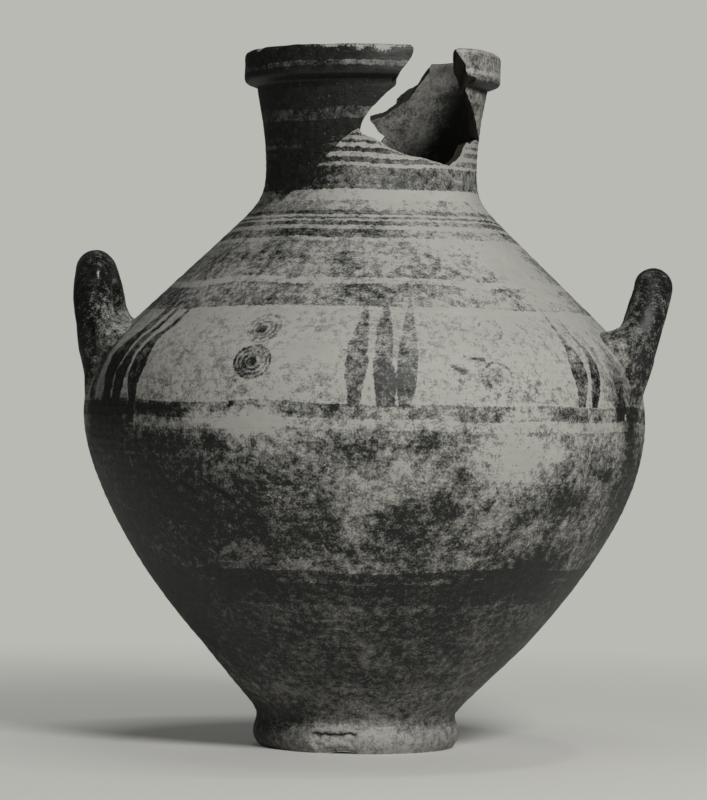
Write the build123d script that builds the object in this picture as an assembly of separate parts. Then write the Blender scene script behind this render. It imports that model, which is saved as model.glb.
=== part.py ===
from build123d import *
import math
import os

# A large two-handled storage jar with a broken and mended neck.
# All sizes are in millimetres. The origin is on the floor under the middle of the jar,
# +Z is up, -Y is the painted front and the two handles stand on the -X and +X sides.

# Foot and base
foot_height = 34.5
waist_radius = 99.9
foot_swell = 4.3
foot_swell_height = 14.0
foot_edge_turn = 6.7
foot_rest_width = 17.5
base_thickness = 16.5
base_ledge = 12.0
foot_shift = 6.5

# Outline of the body and neck, one rise for each stretch of the outline
cone_rise = 72.0
cone_spread = 66.0
swell_rise = 227.0
belly_radius = 283.7
turn_rise = 80.0
turn_inset = 31.7
shoulder_rise = 104.5
throat_flare = 35.9
throat_rise = 62.5
throat_radius = 106.5
neck_rise = 85.0
neck_flare = 9.8

# Wall thickness
body_wall = 11.0
neck_wall = 9.0

# Rim band
rim_height = 34.5
rim_stand = 12.7
rim_undercut = 4.5
rim_lip_round = 7.0
rim_edge_round = 4.0
rim_bore_round = 5.0

# Handles: round coils bent into upright loops
coil_radius = 19.2
loop_radius = 60.0
left_handle_inset = 5.4
left_handle_rise = 145.5
left_root_sink = 6.0
left_lean = 7.0
right_handle_overhang = 4.3
right_handle_rise = 135.5
right_root_sink = 17.0
right_lean = 15.0

# Clay smoothed round each handle root
luting_radius = 28.0
luting_sink = 13.0
luting_reach = 29.0

# Joints between the potter's sections and the mended breaks
joint_bevel = 8.0
glue_gap = 0.8
overrun = 20.0

# Where the sections join, as shares of the stretch of outline that each joint lies on
lower_joint_share = 0.37
belly_joint_share = 0.15
neck_joint_share = 0.18

# Handle lengths of the outline's curves, as shares of their rise
swell_shares = (0.18, 0.40)
turn_shares = (0.24, 0.48)
throat_shares = (0.62, 0.44)
neck_shares = (0.48, 0.18)
foot_shares = (0.45, 0.45)

# Break lines seen from outside: angle round the jar in degrees, counted from +X with
# -90 at the front, and height as a share of the rise from the shoulder to the rim.
left_free_edge_shares = [
    (-69.0, 1.060), (-69.2, 0.953), (-69.8, 0.928), (-73.9, 0.858), (-76.1, 0.829),
    (-77.4, 0.771), (-85.0, 0.686), (-90.2, 0.612), (-94.0, 0.555),
]
left_joint_shares = [
    (-94.0, 0.555), (-103.6, 0.487), (-107.6, 0.448), (-111.2, 0.413), (-117.0, 0.351),
    (-123.0, 0.300), (-129.0, 0.248), (-133.7, 0.199), (-137.1, 0.160), (-142.6, 0.189),
    (-149.4, 0.226), (-157.8, 0.258), (-172.0, 0.300), (-188.0, 0.330), (-204.0, 0.388),
    (-217.0, 0.405), (-227.0, 0.450),
]
left_back_edge_shares = [
    (-227.0, 0.450), (-229.5, 0.530), (-230.5, 0.640), (-233.0, 0.760), (-233.6, 0.870),
    (-235.5, 0.960), (-236.0, 1.060),
]
right_free_edge_shares = [
    (-48.0, 1.060), (-47.2, 0.979), (-44.6, 0.947), (-41.7, 0.901), (-40.8, 0.837),
    (-33.3, 0.798), (-32.5, 0.771), (-27.5, 0.721), (-20.8, 0.666), (-12.2, 0.597),
    (-1.7, 0.538),
]
right_joint_shares = [
    (-1.7, 0.538), (3.0, 0.481), (3.6, 0.425), (5.0, 0.380), (9.0, 0.330), (15.0, 0.290),
    (22.0, 0.262), (34.0, 0.300), (46.0, 0.352), (60.0, 0.420), (73.8, 0.493),
    (79.4, 0.566), (85.3, 0.608),
]
right_back_tip_shares = [(85.3, 0.608), (89.1, 0.638), (91.4, 0.681)]
right_back_edge_shares = [
    (94.0, 0.676), (91.2, 0.688), (85.7, 0.709), (81.6, 0.731), (76.2, 0.773),
    (71.5, 0.803), (71.1, 0.857), (67.2, 0.917), (60.9, 0.987), (59.5, 1.060),
]
front_stump_shares = [
    (-92.3, 0.521), (-87.3, 0.500), (-81.7, 0.473), (-76.1, 0.440), (-70.3, 0.416),
    (-64.3, 0.402), (-55.4, 0.391), (-46.9, 0.375), (-40.5, 0.363), (-35.5, 0.391),
    (-30.8, 0.423), (-28.1, 0.465), (-25.1, 0.502), (-20.9, 0.496), (-16.8, 0.515),
    (-9.8, 0.525), (-3.7, 0.520),
]
back_stump_shares = [
    (87.7, 0.565), (91.0, 0.517), (97.0, 0.482), (106.0, 0.455), (114.0, 0.462),
    (124.0, 0.431), (129.0, 0.440),
]

# Heights and radii that follow from the sizes above
foot_recess = foot_height - base_thickness
cone_top = foot_height + cone_rise
belly_height = cone_top + swell_rise
turn_top = belly_height + turn_rise
shoulder_top = turn_top + shoulder_rise
throat_height = shoulder_top + throat_rise
rim_base = throat_height + neck_rise
jar_height = rim_base + rim_height
mouth_radius = throat_radius + neck_flare
rim_radius = mouth_radius + rim_stand
cone_top_radius = waist_radius + cone_spread
lower_joint = cone_top + lower_joint_share * swell_rise
belly_joint = belly_height + belly_joint_share * turn_rise
neck_joint = shoulder_top + neck_joint_share * throat_rise


def heading(start, end):
    # unit direction from one outline point to the next
    length = math.dist(start, end)
    return ((end[0] - start[0]) / length, (end[1] - start[1]) / length)


def along(point, direction, distance):
    return (point[0] + direction[0] * distance, point[1] + direction[1] * distance)


def bend(start, leaving, end, arriving, shares):
    # cubic curve that leaves and arrives along given headings
    rise = end[1] - start[1]
    first = along(start, leaving, shares[0] * rise)
    second = along(end, arriving, -shares[1] * rise)
    return [start, first, second, end]


def on_wall(point, direction, depth):
    # the point that lies the given depth inside the wall, square to the outline
    return (point[0] - direction[1] * depth, point[1] + direction[0] * depth)


upright = (0, 1)
cone_heading = heading((waist_radius, foot_height), (cone_top_radius, cone_top))
shoulder_start = (belly_radius - turn_inset, turn_top)
shoulder_end = (throat_radius + throat_flare, shoulder_top)
shoulder_heading = heading(shoulder_start, shoulder_end)
mouth_heading = heading((throat_radius, throat_height), (mouth_radius, rim_base))


def body_outline(wall, neck):
    # curved stretches from the top of the cone to the rim, a wall's depth in
    cone_inset = wall / cone_heading[1]
    cone_end = (cone_top_radius - cone_inset, cone_top)
    belly = (belly_radius - wall, belly_height)
    start = on_wall(shoulder_start, shoulder_heading, wall)
    end = on_wall(shoulder_end, shoulder_heading, wall)
    throat = (throat_radius - neck, throat_height)
    mouth = (mouth_radius - neck, rim_base)
    return [
        bend(cone_end, cone_heading, belly, upright, swell_shares),
        bend(belly, upright, start, shoulder_heading, turn_shares),
        [start, end],
        bend(end, shoulder_heading, throat, upright, throat_shares),
        bend(throat, upright, mouth, mouth_heading, neck_shares),
    ]


outside = body_outline(0, 0)
inside = body_outline(body_wall, neck_wall)


def point_on(stretch, step):
    # point at a step between 0 and 1 along a straight or cubic stretch
    rest = 1 - step
    weights = (rest, step)
    if len(stretch) == 4:
        weights = (rest**3, 3 * rest**2 * step, 3 * rest * step**2, step**3)
    radius = sum(weight * point[0] for weight, point in zip(weights, stretch))
    height = sum(weight * point[1] for weight, point in zip(weights, stretch))
    return radius, height


def radius_at(outline, height):
    # radius of the outline at a height, found by halving the stretch that holds it
    for stretch in outline:
        if height <= stretch[-1][1]:
            break
    low, high = 0, 1
    for halving in range(40):
        middle = (low + high) / 2
        if point_on(stretch, middle)[1] < height:
            low = middle
        else:
            high = middle
    return point_on(stretch, low)[0]


def in_section(point):
    return Vector(point[0], 0, point[1])


def stretch_edge(stretch):
    points = [in_section(point) for point in stretch]
    if len(points) == 2:
        return Edge.make_line(points[0], points[1])
    return Edge.make_bezier(*points)


def straight_run(points):
    # straight edges through the given outline points
    return [stretch_edge(pair) for pair in zip(points, points[1:])]


def turned(edges):
    # solid of revolution from a closed set of edges
    return revolve(Face(Wire(edges)), axis=Axis.Z)


def polygon_turned(points):
    return turned(straight_run(points + points[:1]))


def joint_line(height):
    # bevelled joint across the wall: higher on the outside than on the inside
    outer = radius_at(outside, height) + joint_bevel
    inner = radius_at(inside, height) - joint_bevel
    rise = joint_bevel / 2
    reach = belly_radius + overrun
    return [(0, height - rise), (inner, height - rise), (outer, height + rise), (reach, height + rise)]


def flat_line(height):
    reach = belly_radius + overrun
    return [(0, height), (reach, height)]


def slab(lower, upper):
    # everything between two joint lines
    return polygon_turned(lower + upper[::-1])


def foot_outline():
    floor_radius = waist_radius + foot_swell - foot_edge_turn
    roll = (waist_radius + foot_swell, foot_swell_height)
    floor = (floor_radius, 0)
    waist = (waist_radius, foot_height)
    outwards = heading((0, 0), (foot_edge_turn, foot_swell_height / 2))
    return [
        bend(floor, outwards, roll, upright, foot_shares),
        bend(roll, upright, waist, upright, foot_shares),
    ]


def foot_ring():
    floor_radius = waist_radius + foot_swell - foot_edge_turn
    recess_radius = floor_radius - foot_rest_width
    seat_radius = recess_radius + base_ledge
    edges = [stretch_edge(stretch) for stretch in foot_outline()]
    edges += straight_run([
        (waist_radius, foot_height),
        (seat_radius, foot_height),
        (seat_radius, foot_recess),
        (recess_radius, foot_recess),
        (recess_radius, 0),
        (floor_radius, 0),
    ])
    return turned(edges).translate((-foot_shift, 0, 0))


def base_disc():
    seat_radius = waist_radius + foot_swell - foot_edge_turn - foot_rest_width + base_ledge
    disc = Solid.make_cylinder(seat_radius, base_thickness)
    return disc.translate((-foot_shift, 0, foot_recess))


def oblique_cone(lower_radius, upper_radius):
    # leans from the shifted foot to the axis of the body
    lower = Wire.make_circle(lower_radius, Plane((-foot_shift, 0, foot_height)))
    upper = Wire.make_circle(upper_radius, Plane((0, 0, cone_top)))
    return Solid.make_loft([lower, upper], ruled=True)


def cone_wall():
    inset = body_wall / cone_heading[1]
    outer = oblique_cone(waist_radius, cone_top_radius)
    return outer - oblique_cone(waist_radius - inset, cone_top_radius - inset)


def curved_wall():
    # the body's wall from the top of the cone to the base of the rim
    edges = [stretch_edge(stretch) for stretch in outside]
    edges += [stretch_edge(stretch) for stretch in inside]
    edges += straight_run([outside[0][0], inside[0][0]])
    edges += straight_run([outside[-1][-1], inside[-1][-1]])
    return turned(edges)


def lower_wall(wall):
    above = slab(flat_line(cone_top), joint_line(lower_joint))
    return (wall & above) + cone_wall()


def belly_wall(wall):
    return wall & slab(joint_line(lower_joint), joint_line(belly_joint))


def shoulder_wall(wall):
    return wall & slab(joint_line(belly_joint), joint_line(neck_joint))


def rim_band():
    bore = mouth_radius - neck_wall
    corners = [
        in_section((bore, rim_base)),
        in_section((mouth_radius, rim_base)),
        in_section((rim_radius, rim_base + rim_undercut)),
        in_section((rim_radius, jar_height)),
        in_section((bore, jar_height)),
    ]
    rounds = [0, 0, rim_edge_round, rim_lip_round, rim_bore_round]
    outline = FilletPolyline(*corners, radius=rounds, close=True)
    return revolve(Face(Wire(outline.edges())), axis=Axis.Z)


def whole_neck(wall):
    above = slab(joint_line(neck_joint), flat_line(rim_base))
    return (wall & above) + rim_band()


# Breaks in the neck. Each break is a fan of flat facets that spreads from one point on
# the jar's axis, so the broken edges slope through the wall as real ones do.
break_centre = throat_height
break_span = jar_height - shoulder_top
break_reach = rim_radius + overrun
break_top = break_centre + 2 * (jar_height - break_centre)


def neck_radius(height):
    if height >= rim_base:
        return rim_radius
    return radius_at(outside, height)


def fan_point(angle, share, lowered, depth):
    # far point of a break on the ray through a point on the wall
    height = shoulder_top + share * break_span
    radius = neck_radius(height) - depth
    climb = (height - lowered - break_centre) * break_reach / radius
    turn = math.radians(angle)
    return Vector(break_reach * math.cos(turn), break_reach * math.sin(turn), break_centre + climb)


def facet(*corners):
    return Face(Wire.make_polygon(corners, close=True))


def above_break(shares, lowered=0, depth=0):
    # everything above a break line, between the line's first and last angles
    centre = Vector(0, 0, break_centre)
    top_centre = Vector(0, 0, break_top)
    line = [fan_point(angle, share, lowered, depth) for angle, share in shares]
    roof = [Vector(point.X, point.Y, break_top) for point in line]
    faces = [facet(top_centre, *roof)]
    faces += fan_facets(centre, line, roof)
    faces.append(facet(centre, line[0], roof[0], top_centre))
    faces.append(facet(centre, line[-1], roof[-1], top_centre))
    return Solid(Shell(faces))


def fan_facets(centre, line, roof):
    faces = []
    for near, far, near_roof, far_roof in zip(line, line[1:], roof, roof[1:]):
        faces.append(facet(centre, near, far))
        faces.append(facet(near, far, far_roof, near_roof))
    return faces


def above_stump():
    # everything above the stump: its two free edges and, a glue line lower, its two joints
    centre = Vector(0, 0, break_centre)
    left_joint = [(angle + 360, share) for angle, share in left_joint_shares[::-1]]
    line = [fan_point(angle, share, 0, 0) for angle, share in front_stump_shares]
    line += [fan_point(angle, share, glue_gap, 0) for angle, share in right_joint_shares]
    line += [fan_point(angle, share, 0, 0) for angle, share in back_stump_shares]
    line += [fan_point(angle, share, glue_gap, 0) for angle, share in left_joint]
    roof = [Vector(point.X, point.Y, break_top) for point in line]
    faces = [facet(*roof)]
    faces += fan_facets(centre, line + line[:1], roof + roof[:1])
    return Solid(Shell(faces))


def left_sherd(neck):
    line = left_free_edge_shares + left_joint_shares[1:] + left_back_edge_shares[1:]
    return neck & above_break(line)


def right_sherd(neck):
    line = right_free_edge_shares + right_joint_shares[1:] + right_back_tip_shares[1:]
    sherd = neck & above_break(line)
    return sherd - above_break(right_back_edge_shares, depth=neck_wall)


def glue_line(neck, shares):
    # the adhesive that fills the gap under a mended sherd
    return neck & (above_break(shares, lowered=glue_gap) - above_break(shares))


def body_envelope():
    # the body filled solid, to trim what stands on its outside
    bottom = outside[0][0]
    top = outside[-1][-1]
    edges = [stretch_edge(stretch) for stretch in outside]
    edges += straight_run([top, (0, top[1]), (0, bottom[1]), bottom])
    return turned(edges)


class Loop:
    # one handle: an upright loop of round coil that leans outwards

    def __init__(self, side, reach, top, lean, sink):
        tilt = math.radians(lean)
        self.side = side
        self.climb = (side * math.sin(tilt), math.cos(tilt))
        self.centre_x = side * reach - self.climb[0] * loop_radius
        self.centre_z = top - self.climb[1] * loop_radius
        self.plane = Plane(
            (self.centre_x, 0, self.centre_z),
            x_dir=(0, 1, 0),
            z_dir=(self.climb[1], 0, -self.climb[0]),
        )
        self.root_run = self.run_to_wall()
        self.run = self.root_run + sink

    def limb_point(self, run):
        # centre of the limb's coil, a distance below the loop's centre
        return self.centre_x - self.climb[0] * run, self.centre_z - self.climb[1] * run

    def run_to_wall(self):
        # how far down the limb's centre meets the outside of the body
        low = 0
        high = (self.centre_z - belly_height) / self.climb[1]
        for halving in range(40):
            middle = (low + high) / 2
            x, z = self.limb_point(middle)
            if math.hypot(x, loop_radius) > radius_at(outside, z):
                low = middle
            else:
                high = middle
        return low

    def coil(self):
        ends = (loop_radius, -loop_radius)
        down = [Edge.make_line((end, -self.run), (end, 0)) for end in ends]
        arch = Edge.make_three_point_arc((ends[0], 0), (0, loop_radius), (ends[1], 0))
        path = self.plane.location * Wire([down[0], arch, down[1]])
        start = Plane(path @ 0, z_dir=path % 0)
        solid = sweep(start * Circle(coil_radius), path=path)
        for end in (path @ 0, path @ 1):
            solid += Pos(end.X, end.Y, end.Z) * Sphere(coil_radius)
        return solid

    def luting(self, limb_side):
        # a round-ended roll of clay, half sunk in the wall and up and down from one root
        x, z = self.limb_point(self.root_run)
        root = Vector(x, limb_side * loop_radius, z)
        outward = Vector(root.X, root.Y, 0).normalized()
        lean_in = radius_at(outside, z + coil_radius) - radius_at(outside, z - coil_radius)
        climb = (outward * lean_in + Vector(0, 0, 2 * coil_radius)).normalized()
        normal = outward * climb.Z - Vector(0, 0, climb.dot(outward))
        foot = root - normal * luting_sink - climb * luting_reach
        roll = Plane(foot, z_dir=climb) * Solid.make_cylinder(luting_radius, 2 * luting_reach)
        for centre in (foot, foot + climb * 2 * luting_reach):
            roll += Pos(centre) * Sphere(luting_radius)
        return roll


def handle(loop, envelope):
    return loop.coil() - envelope


def handle_luting(loop, envelope):
    pads = [loop.luting(limb_side) - loop.coil() - envelope for limb_side in (-1, 1)]
    return Compound(children=[solid for pad in pads for solid in pad.solids()])


def build():
    wall = curved_wall()
    neck = whole_neck(wall)
    envelope = body_envelope()
    left = Loop(
        -1,
        belly_radius - left_handle_inset,
        belly_height + left_handle_rise,
        left_lean,
        left_root_sink,
    )
    right = Loop(
        1,
        belly_radius + right_handle_overhang,
        belly_height + right_handle_rise,
        right_lean,
        right_root_sink,
    )
    return {
        "base_disc": base_disc(),
        "foot_ring": foot_ring(),
        "lower_wall": lower_wall(wall),
        "belly_wall": belly_wall(wall),
        "shoulder_wall": shoulder_wall(wall),
        "neck_stump": neck - above_stump(),
        "left_neck_sherd": left_sherd(neck),
        "right_neck_sherd": right_sherd(neck),
        "left_sherd_glue": glue_line(neck, left_joint_shares),
        "right_sherd_glue": glue_line(neck, right_joint_shares),
        "left_handle": handle(left, envelope),
        "right_handle": handle(right, envelope),
        "left_handle_luting": handle_luting(left, envelope),
        "right_handle_luting": handle_luting(right, envelope),
    }


os.makedirs("parts", exist_ok=True)
for name, shape in build().items():
    export_step(shape, f"parts/{name}.step")
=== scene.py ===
import math

import bpy
import numpy as np
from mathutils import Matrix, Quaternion, Vector
from mathutils.geometry import delaunay_2d_cdt


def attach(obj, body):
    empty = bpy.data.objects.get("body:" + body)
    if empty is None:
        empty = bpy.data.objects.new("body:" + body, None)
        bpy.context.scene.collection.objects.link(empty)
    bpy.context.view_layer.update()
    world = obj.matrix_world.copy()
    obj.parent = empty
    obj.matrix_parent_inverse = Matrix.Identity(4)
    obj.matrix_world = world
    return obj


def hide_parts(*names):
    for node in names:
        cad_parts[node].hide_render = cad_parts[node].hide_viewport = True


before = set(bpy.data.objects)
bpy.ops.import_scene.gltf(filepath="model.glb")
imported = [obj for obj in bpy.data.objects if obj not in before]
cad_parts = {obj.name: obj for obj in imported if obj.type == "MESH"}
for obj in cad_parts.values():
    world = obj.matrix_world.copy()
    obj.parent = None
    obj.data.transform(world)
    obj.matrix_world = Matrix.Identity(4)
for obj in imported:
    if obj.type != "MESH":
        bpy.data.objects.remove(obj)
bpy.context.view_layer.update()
print("frame loaded:", len(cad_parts), "nodes")

# A big two-handled storage jar. Lengths are metres, the front of the jar faces -Y.
# Angles in the tables are degrees round the jar from the front, + towards the right handle.
mm = 0.001

jar = {
    "footHeight": 0.0345, "waistRadius": 0.0999, "footSwell": 0.0043, "footSwellHeight": 0.014,
    "footEdgeTurn": 0.0067, "footRestWidth": 0.0175, "footRecess": 0.018, "baseLedge": 0.012,
    "footShift": 0.0065,
    "coneRise": 0.072, "coneSpread": 0.066, "swellRise": 0.227, "bellyRadius": 0.2837,
    "turnRise": 0.080, "turnInset": 0.0317, "shoulderRise": 0.1045, "throatFlare": 0.0359,
    "throatRise": 0.0625, "throatRadius": 0.1065, "neckRise": 0.085, "neckFlare": 0.0098,
    "bodyWall": 0.011, "neckWall": 0.009,
    "rimHeight": 0.0345, "rimStand": 0.0127, "rimUndercut": 0.0045, "lipRound": 0.007,
    "edgeRound": 0.004, "boreRound": 0.005,
    "jointBevel": 0.008, "glueGap": 0.0008,
    "lowerJointShare": 0.37, "bellyJointShare": 0.15, "neckJointShare": 0.18,
    # how far the two ends pull each curve, as shares of its rise
    "swellShares": (0.18, 0.40), "turnShares": (0.24, 0.48), "throatShares": (0.62, 0.44),
    "neckShares": (0.48, 0.18), "footShares": (0.45, 0.45),
    "columns": 900, "rowStep": 0.0022, "insideStep": 0.018, "footSteps": 32, "neckSteps": 2200,
    "sagHeights": (0.24, 0.27, 0.30, 0.33, 0.36, 0.39, 0.42, 0.45),
    "sags": (0.0, -0.0007, -0.0022, -0.0030, -0.0030, -0.0020, -0.0007, 0.0),
}
footHeight = jar["footHeight"]
coneTop = footHeight + jar["coneRise"]
bellyHeight = coneTop + jar["swellRise"]
turnTop = bellyHeight + jar["turnRise"]
shoulderTop = turnTop + jar["shoulderRise"]
throatHeight = shoulderTop + jar["throatRise"]
rimBase = throatHeight + jar["neckRise"]
jarHeight = rimBase + jar["rimHeight"]
mouthRadius = jar["throatRadius"] + jar["neckFlare"]
rimRadius = mouthRadius + jar["rimStand"]
lowerJoint = coneTop + jar["lowerJointShare"] * jar["swellRise"]
bellyJoint = bellyHeight + jar["bellyJointShare"] * jar["turnRise"]
neckJoint = shoulderTop + jar["neckJointShare"] * jar["throatRise"]


# The outline: the same five stretches as the solid jar
def heading(start, end):
    return (end - start) / np.linalg.norm(end - start)


def bend(start, leaving, end, arriving, shares):
    rise = end[1] - start[1]
    knots = [start, start + leaving * shares[0] * rise, end - arriving * shares[1] * rise, end]
    step = np.linspace(0, 1, 300)[:, None]
    rest = 1 - step
    weights = (rest**3, 3 * rest**2 * step, 3 * rest * step**2, step**3)
    return sum(weight * knot for weight, knot in zip(weights, knots))


def bodyOutline(wall, neck):
    upright = np.array((0.0, 1.0))
    waist = np.array((jar["waistRadius"], footHeight))
    cone = np.array((jar["waistRadius"] + jar["coneSpread"], coneTop))
    belly = np.array((jar["bellyRadius"] - wall, bellyHeight))
    turn = np.array((jar["bellyRadius"] - jar["turnInset"], turnTop))
    shoulder = np.array((jar["throatRadius"] + jar["throatFlare"], shoulderTop))
    throat = np.array((jar["throatRadius"] - neck, throatHeight))
    mouth = np.array((mouthRadius - neck, rimBase))
    coneRun = heading(waist, cone)
    slope = heading(turn, shoulder)
    lip = heading(np.array((jar["throatRadius"], throatHeight)), np.array((mouthRadius, rimBase)))
    inset = np.array((wall / coneRun[1], 0))
    square = np.array((-slope[1], slope[0])) * wall
    return np.concatenate([
        np.array([waist - inset]),
        bend(cone - inset, coneRun, belly, upright, jar["swellShares"]),
        bend(belly, upright, turn + square, slope, jar["turnShares"])[1:],
        bend(shoulder + square, slope, throat, upright, jar["throatShares"]),
        bend(throat, upright, mouth, lip, jar["neckShares"])[1:],
    ])


outside = bodyOutline(0, 0)
inside = bodyOutline(jar["bodyWall"], jar["neckWall"])


def radiusAt(outline, height):
    return np.interp(height, outline[:, 1], outline[:, 0])


def runLengths(points):
    return np.concatenate([[0], np.cumsum(np.linalg.norm(np.diff(points, axis=0), axis=1))])


def outwardAt(outline, height):
    # the outward direction of an outline at a height: its parts along the radius and up
    slope = np.gradient(outline, axis=0)
    slope = slope / np.linalg.norm(slope, axis=1, keepdims=True)
    return np.interp(height, outline[:, 1], slope[:, 1]), -np.interp(height, outline[:, 1], slope[:, 0])


def turnFrom(turn, degrees):
    # radians from an angle, the short way round
    return (turn - math.radians(degrees) + math.pi) % (2 * math.pi) - math.pi


def rowsAlong(outline, cuts, step):
    # heights about a step apart along the outline, with one exactly at each cut
    lengths = runLengths(outline)
    heights, marks = [cuts[0]], [0]
    for low, high in zip(cuts, cuts[1:]):
        ends = np.interp((low, high), outline[:, 1], lengths)
        count = max(2, round((ends[1] - ends[0]) / step))
        run = np.interp(np.linspace(ends[0], ends[1], count + 1)[1:], lengths, outline[:, 1])
        heights += list(run[:-1]) + [high]
        marks.append(len(heights) - 1)
    return np.array(heights), marks


# Seeded lumps: smooth random values between -1 and 1, alike wherever two pieces meet
def lumps(points, size, seed):
    cell = points / size
    base = np.floor(cell).astype(np.int64)
    part = cell - base
    part = part * part * (3 - 2 * part)
    total = 0
    for corner in range(8):
        step = np.array((corner & 1, corner >> 1 & 1, corner >> 2 & 1))
        key = (base + step) @ np.array((73856093, 19349663, 83492791)) + seed * 1299721
        key = (key ^ (key >> 13)) * 1274126177
        value = ((key ^ (key >> 16)) & 0xffff) / 32767.5 - 1
        total = total + value * np.where(step, part, 1 - part).prod(axis=-1)
    return total


def roundJar(turn, radius, height):
    # turn is in radians from the front
    return np.stack([radius * np.sin(turn), -radius * np.cos(turn), height + 0 * turn], axis=-1)


# Places on the surface: (angle, height, half width, half height, depth) in degrees and millimetres
hurts = {
    "nicks": [
        (-35.4, 370, 3, 1.6, 1.0), (-27.3, 371.4, 2.6, 1.4, 0.9), (-43.9, 353.3, 3, 1.6, 1.0),
        (-35.5, 352.8, 3.2, 1.8, 1.2), (-28.1, 352.3, 3, 1.5, 1.0), (-9.5, 366.9, 2, 1.2, 0.8),
        (-31.5, 364, 1.6, 1.2, 0.8), (-25, 345, 3, 1.5, 0.8),
    ],
    "scars": [(10.6, 359, 2, 1.5, 0.9), (47, 428, 3, 1.5, 0.8)],
    "chips": [(67.7, 336.6, 2.2, 3.8, 0.6), (-1.2, 331, 1.5, 2, 0.3), (38, 300, 1.6, 2, 0.3)],
}
# Lines scored in the surface: (angle, height) at both ends, half width and depth in millimetres
scores = {
    "grooves": [(-37.8, 272, -34.0, 258, 1.3, 1.4), (-33.0, 273, -25.4, 254, 1.8, 2.0),
                (-24.4, 240, -19.8, 233.5, 2.6, 2.2), (-22.3, 253.5, -20.8, 252.5, 2.2, 1.0),
                (19.6, 384, 22.4, 378, 1.9, 1.6), (22.7, 392.8, 27.0, 389.6, 1.3, 0.9)],
    "scratches": [(-18.0, 260, -12.6, 254.5, 1.1, 0.6), (-13.4, 200, -9.5, 196, 1.0, 0.6),
                  (-5.8, 291, -3.7, 283, 1.2, 0.7), (0.5, 316, 2.4, 311, 0.8, 0.4)],
}


def spot(turn, height, place, radius=None):
    # 1 in the middle of a place, falling to 0 a little outside it
    radius = (radiusAt(outside, height) if radius is None else radius) / mm
    across = turnFrom(turn, place[0]) * radius / place[2]
    up = (height / mm - place[1]) / place[3]
    return np.exp(-(across**2 + up**2) ** 1.5)


def scored(turn, height, line):
    # 1 along a scored line, falling to 0 beside it
    radius = radiusAt(outside, height) / mm
    run = (math.radians(line[2] - line[0]) * radius, line[3] - line[1])
    across = turnFrom(turn, line[0]) * radius
    up = height / mm - line[1]
    share = np.clip((across * run[0] + up * run[1]) / (run[0]**2 + run[1]**2), 0, 1)
    away = np.hypot(across - share * run[0], up - share * run[1])
    return np.exp(-(away / (line[4] * (0.35 + 0.9 * share))) ** 2)


# The skin's relief: wheel rings, then lumps as (size, seed, height, how much flatter than wide)
skin = {
    "ringPitch": 0.0082, "ringHeight": 0.00016, "ringDrift": 2.2, "driftSize": 0.09, "fadeSize": 0.05,
    "ringMean": 0.55, "ringFade": 0.45,
    "lumps": [(0.15, 5, 0.0007, 1), (0.05, 6, 0.00045, 1), (0.016, 7, 0.00022, 2.5),
              (0.006, 8, 0.00012, 1)],
    "inside": {"size": 0.04, "seed": 21, "height": 0.0006, "reach": 0.2},
    "settle": 0.006,
}


def relief(turn, height):
    # how far the outside stands proud of the outline: wheel rings, dents and hurts
    points = roundJar(turn, radiusAt(outside, height), height)
    drift = skin["ringDrift"] * lumps(points, skin["driftSize"], 3)
    strength = skin["ringMean"] + skin["ringFade"] * lumps(points, skin["fadeSize"], 4)
    proud = skin["ringHeight"] * np.sin(2 * math.pi * height / skin["ringPitch"] + drift) * strength
    for size, seed, rise, flatter in skin["lumps"]:
        proud += rise * lumps(points * (1, 1, flatter), size, seed)
    for place in sum(hurts.values(), []):
        proud -= place[4] * mm * spot(turn, height, place)
    for line in sum(scores.values(), []):
        proud -= line[5] * mm * scored(turn, height, line)
    return proud


def gridNormals(grid):
    # outward normals of a grid of points: rows run up the outside, columns run round
    up = np.gradient(grid, axis=0)
    around = np.roll(grid, -1, axis=1) - np.roll(grid, 1, axis=1)
    normals = np.cross(around, up)
    return normals / np.maximum(np.linalg.norm(normals, axis=2, keepdims=True), 1e-12)


def dress(name, points, faces, loopNormals, materials, faceKinds, facts, nodes):
    # a finished piece: mesh, own normals, surface facts for the paint, its place in the frame
    mesh = bpy.data.meshes.new(name)
    mesh.from_pydata(points.tolist(), [], faces)
    for material in materials:
        mesh.materials.append(material)
    mesh.polygons.foreach_set("material_index", faceKinds)
    mesh.polygons.foreach_set("use_smooth", np.ones(len(faces), bool))
    for fact, values in facts.items():
        layer = mesh.attributes.new(fact, "FLOAT", "POINT")
        layer.data.foreach_set("value", np.ascontiguousarray(values, np.float32))
    mesh.update()
    mesh.normals_split_custom_set(loopNormals.reshape(-1, 3).tolist())
    piece = bpy.data.objects.new(name, mesh)
    bpy.context.scene.collection.objects.link(piece)
    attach(piece, "root")
    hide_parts(*nodes)
    print("made", name, len(points), "points")
    return piece


def ringFaces(rows, columns, wrapRows=True):
    row = np.arange(rows if wrapRows else rows - 1)[:, None]
    column = np.arange(columns)[None, :]
    nextRow = (row + 1) % rows
    nextColumn = (column + 1) % columns
    corners = (row * columns + column, row * columns + nextColumn,
               nextRow * columns + nextColumn, nextRow * columns + column)
    return np.stack(np.broadcast_arrays(*corners), axis=-1).reshape(-1, 4)


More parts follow.
